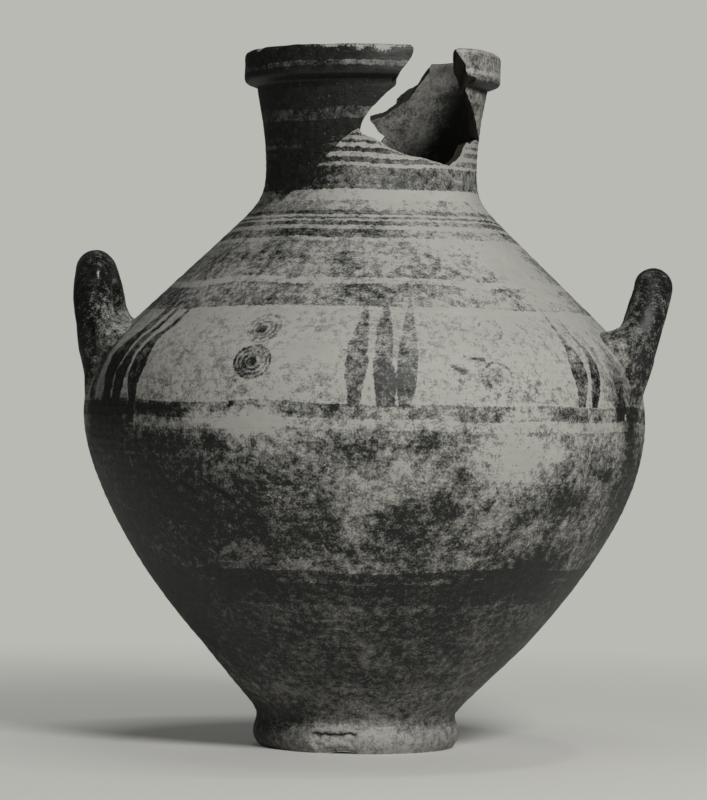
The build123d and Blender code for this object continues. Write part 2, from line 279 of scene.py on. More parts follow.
def ringPiece(name, grid, groups, materials, facts, nodes):
    # a closed ring from a grid of points that wraps both ways. Each group of rows is
    # (first row, last row, material number, normals or None) and is smooth in itself
    rows, columns = grid.shape[:2]
    faces = ringFaces(rows, columns)
    normals = np.zeros((rows, columns, 4, 3))
    kinds = np.zeros((rows, columns), np.int32)
    for first, last, kind, own in groups:
        take = np.arange(first, last + 1) % rows
        group = gridNormals(grid[take]) if own is None else own
        side = np.roll(group, -1, axis=1)
        bands = take[:-1]
        normals[bands] = np.stack([group[:-1], side[:-1], side[1:], group[1:]], axis=2)
        kinds[bands] = kind
    points = grid.reshape(-1, 3)
    facts = {fact: values.reshape(-1) for fact, values in facts.items()}
    return dress(name, points, faces.tolist(), normals, materials, kinds.reshape(-1), facts, nodes)


# Painted strokes: (height, left edge, right edge) down each stroke, then how dark it is
strokes = {
    "leaves": {"tone": ((300, 0.78), (370, 0.76), (384, 0.6), (392, 0.4), (445, 0.34)), "swell": 0.0,
               "shapes": [
        [(444.3, 2.0, 2.7), (435.2, 1.5, 3.0), (419, 0.4, 3.1), (401, -1.1, 2.9), (384, -1.4, 3.0),
         (375, -1.5, 2.8), (366, -1.3, 2.3), (356, -0.8, 1.9), (343, -0.7, 1.4)],
        [(442.8, 7.3, 8.0), (435.5, 6.3, 8.1), (419.4, 5.0, 8.2), (402, 4.5, 8.2), (393, 4.2, 7.9),
         (384, 4.0, 8.0), (375, 4.1, 8.4), (367, 4.3, 8.5), (343, 4.7, 8.2)],
        [(441.4, 12.3, 13.7), (436, 12.0, 13.8), (420, 10.7, 13.5), (402, 9.5, 13.2), (393, 9.2, 13.1),
         (384.5, 8.9, 12.9), (376, 8.6, 12.8), (367, 8.6, 12.6), (343, 8.9, 11.2)],
    ]},
    "leftRoot": {"tone": ((300, 1.1), (370, 0.98), (395, 0.92), (420, 0.72), (445, 0.5)), "swell": 0.3,
                 "shapes": [
        [(440, -56.8, -53.0), (427, -58.2, -55.3), (418, -59.2, -55.8), (409, -60.7, -57.3),
         (400, -63.2, -58.1),
         (391, -65.0, -58.1), (382, -64.4, -58.5), (373, -64.2, -59.6), (359, -62.6, -58.8),
         (346, -62.6, -59.3)],
        [(436, -52.4, -51.0), (427, -53.1, -51.5), (418, -53.9, -51.8), (409, -55.6, -52.7),
         (400, -56.6, -53.7),
         (391, -57.1, -54.2), (382, -57.7, -54.1), (373, -58.7, -54.3), (359, -57.8, -54.3),
         (346, -57.8, -54.8)],
        [(438, -47.0, -45.8), (427, -47.7, -46.3), (418, -48.5, -46.8), (409, -51.0, -48.3),
         (400, -52.0, -48.5),
         (391, -53.0, -48.3), (382, -52.9, -48.0), (373, -53.2, -48.3), (359, -52.1, -49.0),
         (348, -51.1, -48.9),
         (336, -51.2, -49.1), (325, -51.3, -49.5)],
    ]},
    "rightRoot": {"tone": ((300, 0.95), (378, 0.9), (390, 0.6), (400, 0.4), (445, 0.42)), "swell": 0.0,
                  "shapes": [
        [(438, 51.4, 51.9), (427, 50.7, 51.5), (417, 50.3, 51.3), (406, 50.0, 52.3), (397, 49.4, 53.0),
         (389, 49.0, 53.6), (380, 48.9, 53.7), (371, 49.3, 53.5), (363, 49.5, 52.8), (355, 49.4, 52.1),
         (346, 49.5, 51.6)],
        [(433, 55.4, 56.0), (422, 55.2, 56.0), (413, 55.0, 55.9), (405, 55.7, 57.0), (398, 56.1, 57.8),
         (389, 55.8, 58.5), (381, 55.2, 58.6), (370, 54.7, 58.0), (359, 54.0, 57.0), (346, 53.8, 55.7)],
    ]},
}
circles = [
    # angle, height, half width mm, half height mm, ring half thickness mm, tone
    (-20.6, 384.5, 18.4, 15.2, 1.2, 0.72), (-20.6, 384.5, 14.0, 11.6, 1.2, 0.55),
    (-20.6, 384.5, 9.6, 7.8, 1.3, 0.6),
    (-20.8, 384.5, 5, 4.6, 5.2, 0.85),
    (-20.4, 416.5, 16.0, 13.2, 1.1, 0.34), (-20.4, 416.5, 11.5, 9.4, 1.2, 0.42),
    (-20.4, 416.5, 7.6, 6.2, 1.1, 0.42),
    (-20.7, 416, 4, 3.4, 4.2, 0.62),
    (30.9, 420.6, 14, 11.5, 0.9, 0.26), (30.9, 420.6, 9, 7.4, 1.0, 0.28), (29.5, 372, 17, 15, 1.0, 0.36),
    (29.5, 372, 11, 9.6, 1.0, 0.34), (29.5, 372, 3, 3, 2.4, 0.4),
]


def strokeFacts(turn, height):
    # signed distance into the nearest stroke in millimetres, and how dark that stroke is.
    # The back carries the same strokes, turned half round the jar.
    radius = radiusAt(outside, height) / mm
    level = height / mm
    folded = np.where(np.cos(turn) >= 0, turn, turn + math.pi)
    angle = np.degrees(turnFrom(folded, 0))
    gap = np.full(turn.shape, noStroke)
    tone = np.zeros(turn.shape)

    def merge(own, dark):
        nonlocal gap, tone
        tone = np.where(own > gap, dark, tone)
        gap = np.maximum(gap, own)

    for family in strokes.values():
        heights, tones = zip(*family["tone"])
        for shape in family["shapes"]:
            table = np.array(shape[::-1])
            left = np.interp(level, table[:, 0], table[:, 1])
            right = np.interp(level, table[:, 0], table[:, 2])
            scale = radius * math.pi / 180
            slant = np.gradient((table[:, 1] + table[:, 2]) / 2, table[:, 0])
            lean = np.interp(level, table[:, 0], slant) * scale
            own = ((right - left) / 2 - np.abs(angle - (left + right) / 2)) * scale / np.sqrt(1 + lean**2)
            own = np.minimum(own + family["swell"], np.minimum(level - table[0, 0], table[-1, 0] - level))
            merge(own, np.interp(level, heights, tones))
    for place, rise, wide, high, thick, dark in circles:
        across = (angle - place) * radius * math.pi / 180
        away = np.hypot(across, (level - rise) * wide / high)
        merge(thick - np.abs(away - wide) if thick < wide else thick - away, np.full(turn.shape, dark))
    return gap, tone


# Where paint is kept or lost, with a few places of painted shade among the kept: angle, height, half width
# mm, half height mm, amount
paintPlaces = {
    "kept": [
        # upper dark band, block by block
        (-60, 336, 62, 13, 0.7), (-40, 339, 38, 9, 0.5), (-26, 340, 26, 7, 0.22),
        (-24.2, 344, 3, 2.5, 0.5), (-18.1, 342, 3.5, 3, 0.5),
        (-10.7, 340, 7, 4, 0.3), (-3.8, 342, 9, 4.5, 0.35), (12, 338, 7, 6.5, 0.55),
        (22.4, 337, 6, 6.5, 0.25),
        (28.3, 337, 11, 6.5, 0.25), (48.5, 338, 17, 6, 0.16),
        # the belly's left side and foot of the belly
        (-60, 314, 55, 17, 0.6), (-40, 308, 42, 12, 0.42), (-20.6, 384.5, 17, 14, 0.2),
        (-20.4, 416.5, 14, 11, 0.14),
        # the last place on the next line, under the rim on the right, is painted shade under the rim's
        # overhang
        (8.6, 362, 4, 15, 0.1), (60.5, 372, 10, 26, 0.24), (60, 400, 5, 8, 0.2), (75, 665.5, 50, 5, 1.1),
        # the first place on the next line, at the neck's base on the left, is a painted shadow cast by the
        # rim and neck
        (-38, 592, 38, 24, 0.35), (13, 235, 26, 24, 0.3),
        (-9, 243, 12, 14, 0.18), (-18, 218, 26, 16, 0.18), (-29, 308, 14, 8, 0.32), (-36, 308, 10, 8, 0.2),
        (-31, 322, 14, 8, 0.28), (45, 180, 60, 18, 0.3), (28, 140, 25, 40, 0.12),
        (-62, 240, 150, 78, 0.58), (-42, 262, 75, 42, 0.28), (-20, 262, 24, 26, 0.14),
        (0, 307, 33, 12, 0.35),
        (-5, 250, 11, 16, 0.3), (-8, 222, 24, 14, 0.3), (-27.4, 176, 30, 8, 0.35),
        (-21.5, 253, 4, 2.5, 0.3),
        (0.1, 205, 4, 4.5, 0.5), (15.7, 181, 16, 20, 0.15), (-30, 205, 60, 22, 0.12),
        # the belly's right side
        (15.2, 315, 9, 5, 0.35), (14.8, 304, 17, 11, 0.2), (22.7, 280, 8, 8, 0.4), (50, 258, 25, 14, 0.42),
        (56, 252, 20, 16, 0.2), (61, 281, 14, 7, 0.4), (19.2, 248, 19, 15, 0.42), (37.2, 237, 10, 12, 0.35),
        (51.8, 197, 40, 18, 0.4), (80, 262, 55, 60, 0.45), (72, 300, 20, 30, 0.1),
        # the cone, the shoulder and the dark hurts
        (-60, 120, 110, 45, 0.25), (-30, 500, 25, 18, 0.14), (-55, 447, 60, 14, 0.1),
        (-45, 478, 45, 14, 0.04),
        (10.6, 359, 2.4, 2, 0.7), (65, 345, 12, 25, 0.5), (29, 375, 22, 14, 0.12),
        (-70, 380, 12, 60, 0.8), (-62, 326, 60, 7, 0.45), (-38, 326, 30, 6, 0.25),
        # the panel's left side, between its strokes and round the right root
        (-35, 378, 60, 42, 0.13), (-60, 372, 26, 34, 0.4), (65, 374, 19, 34, 0.4), (72, 348, 26, 40, 0.55),
        (70, 322, 14, 14, 0.5), (-18, 236, 50, 40, 0.14), (-105, 260, 120, 90, 0.25),
        # the first and last places on the next line, round the neck's base on the left, are the same
        # painted shadow of the rim and neck
        (-48, 573, 38, 22, 0.42), (45, 182, 50, 16, 0.2), (-70, 549, 50, 8, 0.25),
        (-28, 310, 20, 13, 0.3), (13, 211, 42, 20, 0.3),
        (-66, 370, 20, 26, 0.14),
    ],
    "lost": [
        (-20.2, 331, 24, 17, 0.6), (-29.4, 333, 24, 14, 0.4), (2.3, 261, 35, 15, 0.22),
        (-0.3, 226, 12, 10, 0.3),
        (33.6, 283, 42, 22, 0.28), (28, 263, 10, 7, 0.25), (43, 226, 12, 17, 0.2), (28.1, 202, 11, 8, 0.2),
        (-9.3, 299, 13, 5, 0.35), (59.2, 260, 9, 16, 0.2), (8, 338, 34, 9, 0.25), (36, 338, 30, 9, 0.45),
        (28, 338, 40, 10, 0.2), (60, 338, 16, 9, 0.3), (35, 447, 70, 16, 0.35), (60, 447, 50, 18, 0.3),
        (5, 447, 60, 12, 0.1), (35, 306, 60, 14, 0.42), (0, 280, 25, 8, 0.1), (5, 480, 60, 14, 0.12),
        (30, 480, 60, 20, 0.2), (48, 492, 60, 26, 0.45), (28, 517, 55, 14, 0.28),
        (9.6, 285, 12, 14, 0.2), (32, 288, 24, 16, 0.2), (43, 296, 14, 14, 0.28),
        (62, 480, 50, 40, 0.5), (20, 505, 50, 20, 0.12), (62, 395, 8, 30, 0.2), (-67.5, 385, 6, 40, 0.22),
        (14, 277, 28, 18, 0.3), (36, 280, 26, 14, 0.36), (-14, 319, 20, 22, 0.24), (24, 290, 14, 14, 0.16),
        (44, 300, 16, 12, 0.2), (-42, 455, 46, 24, 0.17), (-44, 527, 22, 8, 0.2), (50, 527, 22, 9, 0.18),
        (47, 325, 16, 12, 0.16),
    ],
}


# Painted shade on the foot, darker round the left and lighter towards the key lamp's side: (angle, amount),
# then the height in mm where it ends and over what height it fades
footPaintedShade = {
    "tone": [(-180, 0.15), (-75, 0.5), (-40, 0.42), (-20, 0.05), (20, -0.12), (60, 0.1), (180, 0.15)],
    "top": 62, "fade": 25,
}
# Painted shade that darkens the grooves, and how bare the other hurts are
hurtShadeAndWear = {"grooves": 0.85, "nicks": 0.3, "chips": 1.1, "scratches": 0.8}
noStroke = -30.0


def paintFacts(turn, height):
    gap, tone = strokeFacts(turn, height)
    kept = sum(place[4] * spot(turn, height, place) for place in paintPlaces["kept"])
    lost = sum(place[4] * spot(turn, height, place) for place in paintPlaces["lost"])
    around = (np.degrees(turn) + 180) % 360 - 180
    footShadeTone = np.interp(around, *zip(*footPaintedShade["tone"]))
    # painted shade on the foot
    kept = kept + footShadeTone * np.clip((footPaintedShade["top"] - height / mm) / footPaintedShade["fade"], 0, 1)
    # painted shade in the grooves
    kept = kept + sum(hurtShadeAndWear["grooves"] * scored(turn, height, line) for line in scores["grooves"])
    bare = sum(hurtShadeAndWear[kind] * spot(turn, height, place) for kind in ("nicks", "chips")
               for place in hurts[kind])
    bare = bare + sum(hurtShadeAndWear["scratches"] * scored(turn, height, line) for line in scores["scratches"])
    return {"strokeGap": gap, "strokeTone": tone, "paintKeptAndShade": kept - lost, "bareClay": np.clip(bare, 0, 1)}


# The body: foot ring and three wall sections, cut from one run of rows so no seam shows
def leanedCentre(height):
    # the foot sits off the axis and the belly sags a little to the left
    sag = np.interp(height, jar["sagHeights"], jar["sags"])
    return sag - jar["footShift"] * np.clip((coneTop - height) / jar["coneRise"], 0, 1)


def bodyGrid(outline, cuts, step, lumpy):
    heights, marks = rowsAlong(outline, cuts, step)
    turn = np.arange(jar["columns"]) * 2 * math.pi / jar["columns"]
    height, turn = np.meshgrid(heights, turn, indexing="ij")
    outR, outZ = outwardAt(outline, height)
    # hurts and paint keep their places when the body leans
    seen = turn + leanedCentre(height) * np.cos(turn) / radiusAt(outline, height)
    inner = skin["inside"]
    proud = (relief(seen, height) if lumpy else
             inner["height"] * lumps(roundJar(turn, inner["reach"], height), inner["size"], inner["seed"]))
    proud = proud * np.clip((height - cuts[0]) / skin["settle"], 0, 1)
    radius = radiusAt(outline, height) + outR * proud + (waistFillet(height) if lumpy else 0)
    grid = roundJar(turn, radius, height + outZ * proud)
    grid[..., 0] += leanedCentre(height)
    return grid, seen, height, marks


waist = {"fillet": 0.0012, "reach": 0.005, "normalOut": 0.93, "normalUp": -0.37}


def waistFillet(height):
    # clay wiped into the corner between foot and body
    return waist["fillet"] * np.exp(-np.abs((height - footHeight) / waist["reach"]) ** 1.5)


def softWaist(normals, turn, order):
    # foot and body share one normal where they meet; order lists the row at the waist, then the next
    shared = roundJar(turn, waist["normalOut"], waist["normalUp"])
    for row, share in zip(order, (1.0, 0.5)):
        mixed = normals[row] * (1 - share) + shared * share
        normals[row] = mixed / np.linalg.norm(mixed, axis=-1, keepdims=True)
    return normals


bevel = jar["jointBevel"] / 2
outerCuts = [footHeight, lowerJoint + bevel, bellyJoint + bevel, neckJoint + bevel]
innerCuts = [footHeight, lowerJoint - bevel, bellyJoint - bevel, neckJoint - bevel]
outerGrid, outerTurn, outerHeight, outerMarks = bodyGrid(outside, outerCuts, jar["rowStep"], True)
innerGrid, innerTurn, innerHeight, innerMarks = bodyGrid(inside, innerCuts, jar["insideStep"], False)
outerNormals = softWaist(gridNormals(outerGrid), outerTurn[0], (0, 1))
innerNormals = -gridNormals(innerGrid)
bodyFacts = paintFacts(outerTurn, outerHeight)
print("body surface worked out")


def bodySection(name, index):
    low, high = outerMarks[index], outerMarks[index + 1] + 1
    inLow, inHigh = innerMarks[index], innerMarks[index + 1] + 1
    grid = np.concatenate([outerGrid[low:high], innerGrid[inLow:inHigh][::-1]])
    outerRows, innerRows = high - low, inHigh - inLow
    rows = outerRows + innerRows
    facts = {}
    for fact, values in bodyFacts.items():
        hidden = np.zeros((innerRows, jar["columns"]))
        facts[fact] = np.concatenate([values[low:high], hidden])
    groups = [
        (0, outerRows - 1, 0, outerNormals[low:high]),
        (outerRows - 1, outerRows, 1, None),
        (outerRows, rows - 1, 1, innerNormals[inLow:inHigh][::-1]),
        (rows - 1, rows, 1, None),
    ]
    return ringPiece(name, grid, groups, [slippedClay, bareInside], facts, [name])


def footRing():
    floorRadius = jar["waistRadius"] + jar["footSwell"] - jar["footEdgeTurn"]
    recessRadius = floorRadius - jar["footRestWidth"]
    seatRadius = recessRadius + jar["baseLedge"]
    upright = np.array((0.0, 1.0))
    floor = np.array((floorRadius, 0.0))
    roll = np.array((jar["waistRadius"] + jar["footSwell"], jar["footSwellHeight"]))
    corner = np.array((jar["waistRadius"], footHeight))
    outwards = heading(np.zeros(2), np.array((jar["footEdgeTurn"], jar["footSwellHeight"] / 2)))
    side = np.concatenate([bend(floor, outwards, roll, upright, jar["footShares"]),
                           bend(roll, upright, corner, upright, jar["footShares"])[1:]])
    lengths = runLengths(side)
    even = np.linspace(0, lengths[-1], jar["footSteps"])
    side = np.stack([np.interp(even, lengths, side[:, 0]), np.interp(even, lengths, side[:, 1])], axis=1)
    hidden = [(seatRadius, footHeight), (seatRadius, jar["footRecess"]), (recessRadius, jar["footRecess"]),
              (recessRadius, 0), ((recessRadius + floorRadius) / 2, 0)]
    profile = np.concatenate([side, hidden])
    turn = np.arange(jar["columns"]) * 2 * math.pi / jar["columns"]
    radius, turn = np.meshgrid(profile[:, 0], turn, indexing="ij")
    height = np.broadcast_to(profile[:, 1][:, None], turn.shape)
    points = roundJar(turn, radius, height)
    proud = 0.0010 * lumps(points, 0.035, 31) + 0.0005 * lumps(points, 0.012, 32)
    # a flake knocked off the front: a ragged step with a fissure along its top
    flake = footFlake
    angle = np.degrees(turnFrom(turn, 0))
    ragged = angle + flake["endSway"] * lumps(points, 0.012, 35)
    wide = np.clip(1.6 - 1.6 * np.abs((ragged - flake["angle"]) / flake["halfAngle"])**4, 0, 1)
    top = flake["top"] + flake["topSway"] * lumps(roundJar(turn, 0.1, 0.01), 0.013, 37)
    top = top + flake["topJag"] * lumps(points, 0.004, 38)
    bite = wide * np.clip((top - height) / flake["step"], 0, 1)
    fissure = wide * np.exp(-((height - top) / flake["crack"])**2)
    ridge = wide * np.exp(-((height - top - flake["ridgeAbove"]) / flake["ridgeWide"])**2)
    rough = 0.7 + 0.5 * lumps(points, 0.009, 33) + 0.35 * lumps(points, 0.004, 34)
    proud = proud - flake["depth"] * bite * rough - flake["crackDepth"] * fissure + flake["ridge"] * ridge
    shown = np.ones(len(profile))
    shown[0] = 0.3
    shown[len(side) - 1:] = 0
    proud = proud * shown[:, None]
    seam = np.arange(len(profile)) < len(side)
    lift = flake["lift"] * np.exp(-np.abs((angle - flake["liftAngle"]) / flake["liftHalfAngle"])**4)
    lift = lift * np.clip(1 - height / flake["liftTop"], 0, 1) * seam[:, None]
    grid = roundJar(turn, radius + proud + waistFillet(height) * seam[:, None], height + lift)
    grid[..., 0] -= jar["footShift"]
    last = len(side) - 1
    normals = softWaist(gridNormals(grid[:len(side)]), turn[0], (-1, -2))
    groups = [(0, last, 0, normals)]
    groups += [(row, row + 1, 1, None) for row in range(last, len(profile))]
    facts = paintFacts(turn, height)
    facts["bareClay"] = np.clip(0.55 * bite * (0.8 + 0.6 * lumps(points, 0.006, 39)) + 0.5 * ridge, 0, 1)
    # the fissure is painted darker: painted shade in the crack
    facts["paintKeptAndShade"] += 1.1 * fissure + 0.4 * bite * lumps(points, 0.007, 36) - 0.15 * ridge
    return ringPiece("foot_ring", grid, groups, [slippedClay, bareInside], facts, ["foot_ring"])


footFlake = {
    "angle": -8, "halfAngle": 13, "endSway": 3, "top": 0.0192, "topSway": 0.0022, "topJag": 0.0008,
    "step": 0.0015, "depth": 0.0042, "crack": 0.0011, "crackDepth": 0.0018,
    "ridge": 0.0006, "ridgeAbove": 0.006, "ridgeWide": 0.004,
    "lift": 0.0022, "liftAngle": -3.5, "liftHalfAngle": 7, "liftTop": 0.008,
}


# The broken neck. Break lines as seen from outside: angle from the front and height as a
# share of the rise from the shoulder to the rim.
breaks = {
    "leftFree": [(21.0, 1.060), (21.1, 0.962), (20.6, 0.940), (17.3, 0.885), (15.3, 0.850), (14.8, 0.843),
                 (14.2, 0.780), (11.9, 0.759), (6.0, 0.696), (1.6, 0.639), (-4.0, 0.555)],
    "leftJoint": [(-4.0, 0.555), (-13.6, 0.487), (-17.6, 0.448), (-21.2, 0.413), (-27.0, 0.351),
                  (-33.0, 0.300), (-39.0, 0.248), (-43.7, 0.199), (-47.1, 0.160), (-52.6, 0.189),
                  (-59.4, 0.226), (-67.8, 0.258), (-82.0, 0.300), (-98.0, 0.330), (-114.0, 0.388),
                  (-127.0, 0.405), (-137.0, 0.450)],
    "leftBack": [(-137.0, 0.450), (-139.5, 0.530), (-140.5, 0.640), (-143.0, 0.760), (-143.6, 0.870),
                 (-145.5, 0.960), (-146.0, 1.060)],
    "rightFree": [(42.0, 1.060), (42.8, 0.975), (45.2, 0.943), (48.1, 0.910), (48.9, 0.870), (49.4, 0.852),
                  (55.6, 0.850), (56.3, 0.779), (57.5, 0.764), (61.0, 0.732), (66.0, 0.687), (73.9, 0.616),
                  (82.9, 0.556), (88.3, 0.538)],
    "rightJoint": [(88.3, 0.538), (93.0, 0.481), (93.6, 0.425), (95.0, 0.380), (99.0, 0.330),
                   (105.0, 0.290), (112.0, 0.262), (124.0, 0.300), (136.0, 0.352), (150.0, 0.420),
                   (163.8, 0.493), (169.4, 0.566), (175.3, 0.608)],
    "rightTip": [(175.3, 0.608), (179.1, 0.638), (181.4, 0.681)],
    "rightBack": [(184.0, 0.676), (181.0, 0.686), (175.9, 0.705), (171.6, 0.734), (166.7, 0.772),
                  (161.8, 0.804), (159.5, 0.836), (155.6, 0.887), (151.7, 0.936), (145.8, 0.989),
                  (144.5, 1.060)],
    "stumpFront": [(-2.3, 0.521), (2.7, 0.500), (8.3, 0.473), (13.9, 0.440), (19.7, 0.416),
                   (25.7, 0.402), (34.6, 0.391), (43.1, 0.375), (49.5, 0.363), (54.5, 0.391),
                   (59.2, 0.423), (61.9, 0.465), (64.9, 0.502), (69.1, 0.496), (73.2, 0.515),
                   (80.2, 0.525), (86.3, 0.520)],
    "stumpBack": [(177.7, 0.565), (181.0, 0.517), (187.0, 0.482), (196.0, 0.455), (204.0, 0.462),
                  (214.0, 0.431), (219.0, 0.440)],
}
breakCentre = throatHeight
breakSpan = jarHeight - shoulderTop
# The breaks are roughened as points of a round of breakRadius. The skin is cut as if it lay flat,
# unrolled from a round of skinRadius.
fracture = {"step": 0.0013, "jag": 0.0006, "fineJag": 0.0003, "rows": 6, "roughness": 0.0007,
            "cell": 0.0024, "rowShare": 0.87, "closing": 12, "clearOfEdge": 0.9, "insideFrom": 0.006,
            "paintUpTo": 0.008, "glueSunk": 0.0003}
breakRadius = 0.11
skinRadius = 0.115
boreRadius = 0.1


def neckSection():
    # the neck's section as one run: up the outside, over the rim and down the inside
    def corner(before, point, after, size):
        a, b = heading(point, before), heading(point, after)
        half = math.acos(np.clip(a @ b, -1, 1)) / 2
        start, end = point + a * size / math.tan(half), point + b * size / math.tan(half)
        step = np.linspace(0, 1, 9)[:, None]
        return (1 - step)**2 * start + 2 * step * (1 - step) * point + step**2 * end

    bore = mouthRadius - jar["neckWall"]
    base = np.array((mouthRadius, rimBase))
    edge = np.array((rimRadius, rimBase + jar["rimUndercut"]))
    lip = np.array((rimRadius, jarHeight))
    brim = np.array((bore, jarHeight))
    low = np.array((bore, rimBase))
    up = outside[outside[:, 1] > neckJoint + bevel]
    up = np.concatenate([[(radiusAt(outside, neckJoint + bevel), neckJoint + bevel)], up])
    down = inside[inside[:, 1] > neckJoint - bevel][::-1]
    down = np.concatenate([down, [(radiusAt(inside, neckJoint - bevel), neckJoint - bevel)]])
    run = np.concatenate([up, corner(base, edge, lip, jar["edgeRound"]),
                          corner(edge, lip, brim, jar["lipRound"]),
                          corner(lip, brim, low, jar["boreRound"]), down])
    keep = np.concatenate([[True], np.linalg.norm(np.diff(run, axis=0), axis=1) > 1e-6])
    run = run[keep]
    lengths = runLengths(run)
    even = np.linspace(0, lengths[-1], jar["neckSteps"])
    return even, np.interp(even, lengths, run[:, 0]), np.interp(even, lengths, run[:, 1])


runLength, runRadius, runHeight = neckSection()
topIndex = int(np.argmax(np.where(runHeight > jarHeight - 1e-5, runRadius < 0.1145, 0)))
runSlope = np.stack([np.gradient(runRadius), np.gradient(runHeight)], axis=1)
runSlope /= np.linalg.norm(runSlope, axis=1, keepdims=True)
# A ledge inside the mouth, as swellings of the bore: height, half height and how far they stand, in mm
mouthLedge = [(666.5, 2.2, 1.1), (671.5, 2.5, -0.9)]
rimLumps = {"size": 0.014, "seed": 41, "height": 0.0004, "fade": 0.01}


def neckOutward(run):
    return np.interp(run, runLength, runSlope[:, 1]), -np.interp(run, runLength, runSlope[:, 0])


def neckPoint(turn, run):
    # a point of the neck's skin, with the wheel rings and dents of the outside and a ledge in the mouth
    radius = np.interp(run, runLength, runRadius)
    height = np.interp(run, runLength, runHeight)
    outR, outZ = neckOutward(run)
    within = run > runLength[topIndex]
    proud = np.where(within, 0.5, 1.0) * relief(turn, np.minimum(height, jarHeight))
    points = roundJar(turn, radius, height)
    ledge = sum(out * np.exp(-((height / mm - level) / half)**2) for level, half, out in mouthLedge)
    proud = proud + ledge * mm * within
    fade = np.clip((height - rimBase) / rimLumps["fade"], 0, 1)
    proud = proud + rimLumps["height"] * lumps(points, rimLumps["size"], rimLumps["seed"]) * fade
    for chip in rimChips:
        proud = proud - chip[4] * mm * spot(turn, height, chip, radius)
    return roundJar(turn, radius + outR * proud, height + outZ * proud)


rimChips = [
    # angle, height, half width, half height, depth in millimetres
    (7.5, 694.9, 8.5, 3.7, 0.9), (-2.7, 695.4, 4.5, 2.8, 0.7), (-16, 698, 6, 2, 0.6), (-60, 699, 5, 3, 1.2),
    (80, 699, 6, 3, 1.2), (46, 698, 4, 4, 1.6),
]


def neckRadiusAt(height):
    # the radius grows evenly under the rim, so that a break leaves the rim once and stays on the neck
    low, high = rimBase - jar["rimUndercut"], rimBase + jar["rimUndercut"]
    under = np.interp(height, (low, high), (radiusAt(outside, low), rimRadius))
    return np.where(height >= low, under, radiusAt(outside, height))


def breakLine(parts):
    # a jagged break as (angle in radians, rising slope from the centre of the fan)
    turns, rises = [], []
    for table, lowered, depth in parts:
        table = np.array(table)
        turn = np.radians(table[:, 0])
        height = shoulderTop + table[:, 1] * breakSpan
        length = runLengths(np.stack([turn * breakRadius, height], axis=1))
        even = np.linspace(0, length[-1], max(2, round(length[-1] / fracture["step"])))
        turn, height = np.interp(even, length, turn), np.interp(even, length, height)
        radius = np.minimum(neckRadiusAt(height), mouthRadius) if depth else neckRadiusAt(height)
        key = roundJar(turn, breakRadius + 0 * radius, height)
        jag = fracture["jag"] * lumps(key, 0.006, 51) + fracture["fineJag"] * lumps(key, 0.0022, 52)
        sway = fracture["jag"] * lumps(key, 0.007, 53) + fracture["fineJag"] * lumps(key, 0.0025, 54)
        turns.append(turn + sway / breakRadius)
        rises.append((height + jag - lowered - breakCentre) / (radius - depth))
    return np.concatenate(turns), np.concatenate(rises)


def crossings(rise):
    # where a ray of the fan leaves the neck's section and where it enters it
    above = (runHeight - breakCentre)[None, :] - rise[:, None] * runRadius[None, :]
    index = np.arange(len(runLength))[None, :]
    below = above < 0
    outer = np.where(below & (index < topIndex), index, -1).max(axis=1)
    inner = np.where(below & (index > topIndex), index, 10**6).min(axis=1)
    outer = np.clip(outer, 0, topIndex)
    inner = np.clip(np.where(inner > 10**5, topIndex, inner), topIndex, len(runLength) - 1)
    return runLength[outer], runLength[inner]


def spread(turn, outer, inner, step):
    # even points along a break, measured on both sides of the wall
    gaps = np.maximum(np.hypot(np.diff(turn) * skinRadius, np.diff(outer)),
                      np.hypot(np.diff(turn) * boreRadius, np.diff(inner)))
    length = np.concatenate([[0], np.cumsum(gaps)])
    even = np.linspace(0, length[-1], round(length[-1] / step))
    return [np.interp(even, length, values) for values in (turn, outer, inner)]


def acrossBreak(turn, outer, inTurn, inner, rows):
    # points from the outer edge of a break to the inner, roughened between the edges
    first, last = neckPoint(turn, outer), neckPoint(inTurn, inner)
    step = np.linspace(0, 1, rows + 1)[:, None, None]
    grid = first * (1 - step) + last * step
    swell = np.sin(np.pi * step) ** 0.5
    grains = ((0.005, 61), (0.004, 62), (0.0045, 63))
    rough = np.stack([lumps(grid, size, seed) for size, seed in grains], axis=-1)
    return grid + swell * fracture["roughness"] * (rough + 0.4 * np.roll(rough, 1, axis=-1))


def distanceToBreak(turn, run, lineTurn, lineRun):
    # millimetres from skin points to a break, measured over the surface
    spots = np.stack([turn * skinRadius, run], axis=-1).reshape(-1, 1, 2)
    line = np.stack([lineTurn * skinRadius, lineRun], axis=-1)[None, ::2]
    pieces = [np.linalg.norm(part - line, axis=2).min(axis=1) for part in np.array_split(spots, 40)]
    return np.concatenate(pieces) / mm


def skinFacts(turn, run, tables, away, skinKind):
    height = np.interp(run, runLength, runHeight)
    facts = paintFacts(turn, np.minimum(height, jarHeight))
    angle = (np.degrees(turn) + 180) % 360 - 180
    margin = np.maximum(np.interp(angle, *zip(*tables["margin"])), 0.05)
    wear = np.interp(angle, *zip(*tables["kept"]))
    chips = sum(spot(turn, height, chip, rimRadius) for chip in rimChips)
    lip = np.clip((height - (jarHeight - 0.0047)) / 0.0015, 0, 1) * (run < runLength[topIndex] + 0.004)
    rubbed = np.interp(angle, *zip(*tables["rubbedLip"])) * lip
    edge = np.exp(-(away / margin) ** 1.6)
    edge = edge * np.clip(margin / 1.2, 0, 1) ** 2
    facts["bareClay"] = np.clip(facts["bareClay"] + edge + rubbed + 0.8 * chips, 0, 1) * skinKind
    facts["paintKeptAndShade"] = facts["paintKeptAndShade"] + wear - 0.2 * lip
    facts["strokeGap"] = np.full(turn.shape, noStroke)
    # where the bands have faded into one another
    facts["offBand"] = np.interp(angle, *zip(*tables["faded"]))
    facts["ownDark"] = np.full(turn.shape, 0.5)
    return facts


